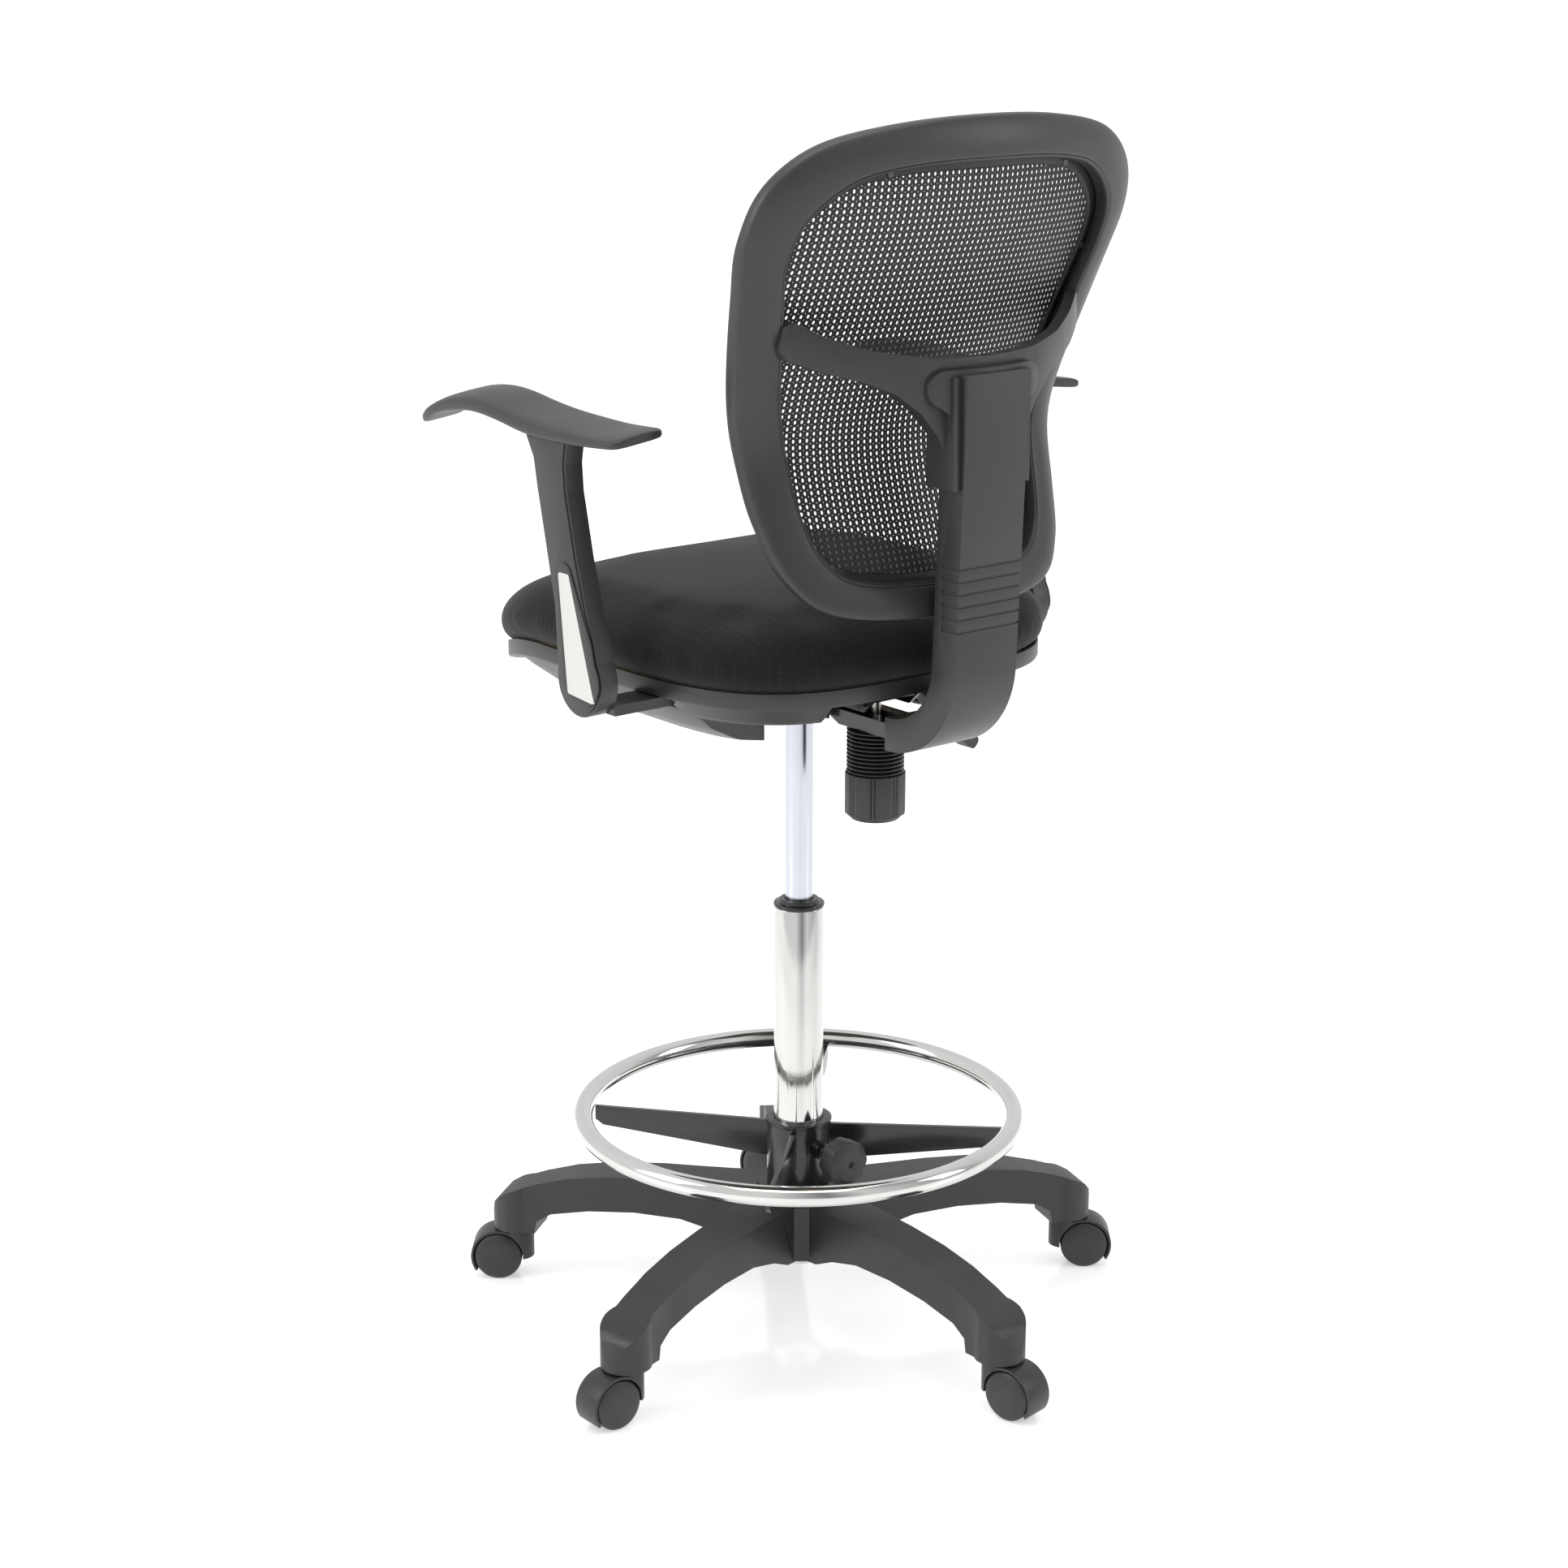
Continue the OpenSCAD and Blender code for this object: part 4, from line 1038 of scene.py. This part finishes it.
@dataclass
class Armrests:
    """Both T armrests.

    Attributes:
        out: Outer face of the post.
        pad_width: Width of the pad.
        pad_top: Height of the pad's top at its rear.
        tilt: Degrees that the pad falls to the outside.
    """

    out: float = 0.285
    pad_width: float = 0.062
    pad_top: float = 0.952
    tilt: float = 7.0

    def build(self, palette: Palette) -> None:
        """Builds both sides."""
        left = self.pad()
        for side, flip in (("left", 1.0), ("right", -1.0)):
            pad = copied(left, f"arm_pad_skin_{side}", Matrix.Diagonal((flip, 1, 1, 1)))
            close_up(pad, 1e-6)
            dressed(pad, palette.pad, "seat", f"arm_pad_{side}", angle=60)
            rounded(f"arm_post_{side}", f"arm_upright_{side}", 0.0032, palette.shell, "seat", sharp=40)
            rounded(f"arm_bracket_{side}", f"arm_carrier_{side}", 0.0015, palette.shell, "seat", segments=2)
        bpy.data.objects.remove(left)
        rounded("arm_inlays", "silver_panels", 0.0006, palette.inlay, "seat", segments=2)
        repaint("arm_bolts", palette.steel)

    def pad(self) -> Thing:
        """Left pad: a wave with a dropped nose and a rounded rear end."""
        z = self.pad_top
        top = [(-0.239, z - 0.024), (-0.228, z - 0.014), (-0.205, z - 0.003), (-0.175, z + 0.007),
               (-0.145, z + 0.011), (-0.115, z + 0.010), (-0.080, z + 0.005), (-0.040, z + 0.001),
               (0.0, z - 0.001), (0.040, z - 0.002), (0.090, z)]
        low = [(-0.239, z - 0.028), (-0.231, z - 0.027), (-0.205, z - 0.015), (-0.170, z - 0.007),
               (-0.135, z - 0.003), (-0.095, z - 0.006), (-0.050, z - 0.013), (0.0, z - 0.014),
               (0.050, z - 0.012), (0.090, z - 0.009)]
        wide = [(-0.239, 0.018), (-0.234, 0.042), (-0.222, 0.053), (-0.195, 0.059), (-0.150, 0.062),
                (0.0, 0.062), (0.080, 0.060), (0.090, 0.057)]
        x = self.out - 0.057 + self.pad_width / 2
        fall = Matrix.Rotation(math.radians(self.tilt), 4, "Y")
        turn = Matrix.Translation((x, 0, z - 0.008)) @ fall @ Matrix.Translation((-x, 0, 0.008 - z))
        rings: list[Ring] = []
        stations = [-0.239, -0.237, -0.234] + [-0.230 + 0.01 * k for k in range(32)] + [0.085, 0.088, 0.090]
        for y in stations:
            t, b, w = along(top, y), along(low, y), along(wide, y) / 2
            end = max(0.0, (y - 0.080) / 0.010)
            shrink = math.sqrt(max(0.0, 1 - end * end * 0.75))
            mid, half = (t + b) / 2, (t - b) / 2 * (0.55 + 0.45 * shrink)
            ring = []
            for k in range(32):
                a = 2 * math.pi * k / 32
                c, s = math.cos(a), math.sin(a)
                crown = 0.0012 * (1 - abs(c)) if s > 0 else 0.0
                ring.append(turn @ Vector((x + w * shrink**0.3 * math.copysign(abs(c) ** 0.35, c), y,
                                           mid + half * math.copysign(abs(s) ** 0.55, s) + crown)))
            rings.append(ring)
        return skin("arm_pad_left_form", [middle(rings[0]), *rings, middle(rings[-1])])


# ---- Tilt mechanism ----


@dataclass
class Mechanism:
    """Steel parts under the seat, both levers and the tension control.

    Attributes:
        knob_y: Where the tension control stands.
        bellows_low: Lower end of the bellows.
        bellows_high: Upper end of the bellows.
        bellows_radius: Outer radius of the ribs.
        ribs: Number of ribs.
    """

    knob_y: float = 0.115
    bellows_low: float = 0.60085
    bellows_high: float = 0.64485
    bellows_radius: float = 0.028
    ribs: int = 11

    def build(self, palette: Palette) -> None:
        """Builds and paints the mechanism."""
        for node in ("mechanism_body", "tilt_bracket"):
            repaint(node, palette.paint)
        for node in ("tilt_pivot_pin", "mechanism_bolts", "tension_bolt", "tension_spring", "release_pin"):
            repaint(node, palette.steel)
        rounded("height_lever", "height_handle", 0.0015, palette.knob, "height_lever")
        rounded("tilt_lever", "tilt_handle", 0.0012, palette.knob, "tilt_lever")
        rounded("tension_knob", "tension_grip", 0.0009, palette.knob, "tension_knob",
                segments=2, sharp=20, angle=25)
        self.bellows(palette)

    def bellows(self, palette: Palette) -> None:
        """Ribbed rubber sleeve around the spring."""
        pitch = (self.bellows_high - self.bellows_low) / self.ribs
        r = self.bellows_radius
        groove, wall, steps = 0.0036, 0.0018, 8
        outer = []
        for k in range(steps * self.ribs + 1):
            dip = groove * (0.5 + 0.5 * math.cos(2 * math.pi * k / steps)) ** 2
            outer.append((r - dip, self.bellows_low + pitch * k / steps))
        inner = [(a - wall, z) for a, z in reversed(outer)]
        obj = turned("bellows_sleeve", [*outer, *inner, outer[0]], 72)
        obj.data.transform(Matrix.Translation((0, self.knob_y, 0)))
        dressed(obj, palette.rubber, "seat", "bellows", angle=60)


# ---- Column and foot ring ----


@dataclass
class Column:
    """Gas lift from the base's hub to the seat's mechanism."""

    def build(self, palette: Palette) -> None:
        """Dresses the column's tubes and collar."""
        rounded("column_tube", "outer_tube", 0.0006, palette.chrome, "base", segments=2, angle=30)
        rounded("guide_collar", "tube_collar", 0.0012, palette.collar, "base", angle=30)
        rounded("gas_cylinder", "piston_tube", 0.0005, palette.piston, "seat", segments=2, angle=30)
        for node in ("thrust_bearing", "retaining_clip", "piston_rod"):
            repaint(node, palette.steel)


@dataclass
class FootRing:
    """Chromed ring with its spokes, hub and clamp knob.

    Attributes:
        radius: Radius to the centre of the bar.
        bar: Radius of the bar.
        height: Height of the ring's centre line.
        stud_z: Height of the clamp's stud.
        stud_turn: Bearing of the stud in degrees.
    """

    radius: float = 0.220
    bar: float = 0.010
    height: float = 0.214
    stud_z: float = 0.184
    stud_turn: float = 87.5

    def build(self, palette: Palette) -> None:
        """Builds the ring."""
        drop_selection()
        bpy.ops.mesh.primitive_torus_add(major_segments=192, minor_segments=32, major_radius=self.radius,
                                         minor_radius=self.bar, location=(0, 0, self.height))
        ring = bpy.context.object
        settled(ring)
        ring.name = ring.data.name = "chromed_ring"
        dressed(ring, palette.chrome, "foot_ring", "ring_tube", angle=60)
        rounded("ring_hub", "spoked_hub", 0.0009, palette.paint, "foot_ring")
        rounded("ring_bush", "split_bush", 0.001, palette.collar, "ring_bush")
        self.knob(palette)

    def knob(self, palette: Palette) -> None:
        """Lobed knob and its threaded stud."""
        obj = softened("ring_knob", "clamp_knob", 0.0022, 3, 28)
        bearing = Matrix.Rotation(math.radians(self.stud_turn), 4, "Z")
        aim = bearing @ Matrix.Translation((0, 0, self.stud_z)) @ Matrix.Rotation(math.pi / 2, 4, "Y")
        threads = []
        for k in range(6):
            drop_selection()
            bpy.ops.mesh.primitive_torus_add(major_segments=32, minor_segments=8,
                                             major_radius=0.0056, minor_radius=0.0010)
            thread = bpy.context.object
            thread.data.transform(aim @ Matrix.Translation((0, 0, 0.0445 + 0.0022 * k)))
            threads.append(thread)
        dressed(obj, palette.knob, "ring_knob", "ring_knob", angle=30)
        dressed(joined(threads, "stud_threads"), palette.paint, "ring_knob", angle=60)


# ---- Base ----


@dataclass
class Caster:
    """One twin-wheel caster.

    Attributes:
        number: Its number around the base.
        pivot: Distance of its pivot from the column.
        leg_turn: Bearing of its leg in degrees.
        trail_turn: Bearing that its wheels trail towards, in degrees.
        trail: Distance that the axle trails behind the pivot.
        axle_z: Height of the axle.
    """

    number: int
    leg_turn: float
    trail_turn: float
    pivot: float = 0.306
    trail: float = 0.020
    axle_z: float = 0.025

    def place(self, side: float) -> Matrix:
        """Where a wheel modelled around Z goes.

        Args:
            side: 1 for the left wheel, -1 for the right one.

        Returns:
            The wheel's place.
        """
        stand = Matrix.Rotation(math.radians(self.leg_turn), 4, "Z") @ Matrix.Translation((self.pivot, 0, 0))
        aside = Matrix.Rotation(math.radians(self.trail_turn - self.leg_turn), 4, "Z")
        swing = aside @ Matrix.Translation((self.trail, 0, self.axle_z))
        return stand @ swing @ Matrix.Rotation(-side * math.pi / 2, 4, "X")

    def build(self, palette: Palette, wheel: Thing) -> None:
        """Builds the hood and both wheels.

        Args:
            palette: The finishes.
            wheel: The wheel to copy.
        """
        n = self.number
        rounded(f"caster_hood_{n}", f"caster_cover_{n}", 0.0013, palette.caster, f"caster_{n}")
        for side, sign in (("left", 1.0), ("right", -1.0)):
            name = f"wheel_{side}_{n}"
            dressed(copied(wheel, f"disc_{side}_{n}", self.place(sign)), palette.tread, name, name, angle=35)
        repaint(f"caster_pins_{n}", palette.steel)


@dataclass
class StarBase:
    """Moulded star base with its casters.

    Attributes:
        leg_turns: Bearings of the legs in degrees.
        trail_turns: Bearings that the casters trail towards.
    """

    leg_turns: tuple[float, ...] = (-54, 18, 90, 162, 234)
    trail_turns: tuple[float, ...] = (-40, 0, 100, 140, -80)

    def wheel(self) -> Thing:
        """Wheel around Z with a flat inner face, a plain tread and a domed outer face."""
        mm = 0.001
        profile = [(0, 17.2), (3.05, 17.2), (3.05, 2.4), (9, 2.4), (9.6, 3.6), (19.5, 3.6), (20.2, 2.4),
                   (23.8, 2.4), (24.7, 2.9), (25, 3.8), (25, 13.4), (24.85, 14.6), (24.3, 15.6), (22.8, 16.7),
                   (20, 17.7), (16, 18.55), (11, 19.15), (5, 19.4), (0, 19.4)]
        return turned("wheel_form", [(r * mm, z * mm) for r, z in profile], 72)

    def build(self, palette: Palette) -> None:
        """Builds the base."""
        rounded("base_star", "star_base", 0.0045, palette.base, "base", segments=4, sharp=38, angle=38)
        wheel = self.wheel()
        for k, (leg, trail) in enumerate(zip(self.leg_turns, self.trail_turns)):
            Caster(k + 1, leg, trail).build(palette, wheel)
        bpy.data.objects.remove(wheel)


# ---- Studio ----


@dataclass(frozen=True)
class Viewpoint:
    """Camera behind the sitter's left shoulder.

    Attributes:
        bearing: Degrees that the camera stands around from straight behind, towards the sitter's left.
        distance: Level distance from the column's axis.
        height: Height above the floor.
        pitch: Degrees that it looks down.
        yaw: Degrees that it looks aside from the column.
        roll: Degrees that it leans.
        lens: Focal length in millimetres on a 36 mm sensor.
    """

    bearing: float = 39.5
    distance: float = 3.140
    height: float = 1.4558
    pitch: float = 15.89
    yaw: float = -0.278
    roll: float = 0.087
    lens: float = 75.53

    def build(self) -> None:
        """Makes the camera the scene's own."""
        b, p, w, q = (math.radians(a) for a in (self.bearing, self.pitch, self.yaw, self.roll))
        side = Vector((-math.cos(b), math.sin(b), 0))
        away = Vector((-math.sin(b), -math.cos(b), 0))
        up = Vector((0, 0, 1))
        ahead = math.sin(w) * math.cos(p) * side + math.cos(w) * math.cos(p) * away - math.sin(p) * up
        right = math.cos(w) * side - math.sin(w) * away
        top = math.sin(w) * math.sin(p) * side + math.cos(w) * math.sin(p) * away + math.cos(p) * up
        right, top = right * math.cos(q) + top * math.sin(q), top * math.cos(q) - right * math.sin(q)
        data = bpy.data.cameras.new("studio_camera")
        data.lens, data.sensor_width = self.lens, 36.0
        camera = bpy.data.objects.new("studio_camera", data)
        bpy.context.scene.collection.objects.link(camera)
        turn = Matrix((right, top, -ahead)).transposed().to_4x4()
        camera.matrix_world = Matrix.Translation(-self.distance * away + Vector((0, 0, self.height))) @ turn
        bpy.context.scene.camera = camera


@dataclass(frozen=True)
class Softbox:
    """Large soft lamp.

    Attributes:
        name: Its name.
        place: Where it stands.
        aim: What it points at.
        size: Width and height.
        power: Power in watts.
    """

    name: str
    place: tuple[float, float, float]
    aim: tuple[float, float, float]
    size: Point2
    power: float

    def build(self) -> None:
        """Hangs the lamp."""
        data = bpy.data.lights.new(self.name, "AREA")
        data.shape, (data.size, data.size_y), data.energy = "RECTANGLE", self.size, self.power
        lamp = bpy.data.objects.new(self.name, data)
        bpy.context.scene.collection.objects.link(lamp)
        ray = Vector(self.aim) - Vector(self.place)
        lamp.matrix_world = Matrix.Translation(self.place) @ ray.to_track_quat("-Z", "Y").to_matrix().to_4x4()


class Studio:
    """Pale glossy floor, white surroundings and soft lamps."""

    def build(self) -> None:
        """Builds the studio."""
        Viewpoint().build()
        self.floor()
        self.surroundings()
        for box in (
            Softbox("window_left", (3.0, -1.2, 2.2), (0, 0, 0.8), (1.6, 2.4), 42.0),
            Softbox("window_right", (-2.2, 2.6, 2.0), (0, 0, 0.8), (1.0, 2.2), 24.0),
            Softbox("overhead", (0.3, 0.3, 3.4), (0, 0, 0.8), (2.2, 2.2), 36.0),
        ):
            box.build()
        bpy.context.scene.view_settings.view_transform = "Standard"

    def floor(self) -> None:
        """White floor that shows a faint reflection."""
        drop_selection()
        bpy.ops.mesh.primitive_plane_add(size=60)
        obj = bpy.context.object
        obj.name = "studio_floor"
        r = Recipe("floor_white")
        tone = r.blend(r.noise(1.5, 2.0), (0.80, 0.80, 0.80), (0.82, 0.82, 0.82))
        r.colour(tone)
        r.set(Roughness=0.10, Specular_IOR_Level=0.8, Emission_Strength=0.42)
        r.surface.inputs["Emission Color"].default_value = (1, 1, 1, 1)
        obj.data.materials.append(r.material)

    def surroundings(self) -> None:
        """White background, with darker flags that the metal reflects."""
        world = bpy.data.worlds.new("studio_white")
        world.use_nodes = True
        bpy.context.scene.world = world
        tree = world.node_tree
        back = tree.nodes["Background"]
        path = tree.nodes.new("ShaderNodeLightPath")
        coord = tree.nodes.new("ShaderNodeTexCoord")
        split = tree.nodes.new("ShaderNodeSeparateXYZ")
        angle = tree.nodes.new("ShaderNodeMath")
        angle.operation = "ARCTAN2"
        ramp = tree.nodes.new("ShaderNodeValToRGB")
        turn = tree.nodes.new("ShaderNodeMapRange")
        turn.inputs["From Min"].default_value, turn.inputs["From Max"].default_value = -math.pi, math.pi
        stops = [(0.0, 0.9), (0.10, 0.95), (0.16, 0.9), (0.22, 0.95), (0.34, 1.0), (0.42, 1.0), (0.47, 0.9),
                 (0.60, 0.95), (0.68, 0.3), (0.74, 0.9), (0.88, 0.4), (0.94, 0.85), (1.0, 0.9)]
        while len(ramp.color_ramp.elements) < len(stops):
            ramp.color_ramp.elements.new(0.5)
        for element, (place, tone) in zip(ramp.color_ramp.elements, stops):
            element.position, element.color = place, (tone, tone, tone, 1)
        pick_glossy = tree.nodes.new("ShaderNodeMix")
        pick_glossy.data_type = "RGBA"
        pick_glossy.inputs["A"].default_value = (0.88, 0.88, 0.88, 1)
        pick_seen = tree.nodes.new("ShaderNodeMix")
        pick_seen.data_type = "RGBA"
        pick_seen.inputs["B"].default_value = (1.05, 1.05, 1.05, 1)
        join = tree.links.new
        join(coord.outputs["Generated"], split.inputs["Vector"])
        join(split.outputs["Y"], angle.inputs[0])
        join(split.outputs["X"], angle.inputs[1])
        join(angle.outputs["Value"], turn.inputs["Value"])
        join(turn.outputs["Result"], ramp.inputs["Fac"])
        join(path.outputs["Is Glossy Ray"], pick_glossy.inputs["Factor"])
        join(ramp.outputs["Color"], pick_glossy.inputs["B"])
        join(path.outputs["Is Camera Ray"], pick_seen.inputs["Factor"])
        join(pick_glossy.outputs["Result"], pick_seen.inputs["A"])
        join(pick_seen.outputs["Result"], back.inputs["Color"])


def main() -> None:
    """Builds the chair and the studio."""
    palette = Palette()
    Studio().build()
    for part in (StarBase(), Column(), FootRing(), Mechanism(), Seat(), Armrests(), MeshBack(), Spine()):
        log.info("building %s", type(part).__name__)
        part.build(palette)


if __name__ == "__main__":
    main()
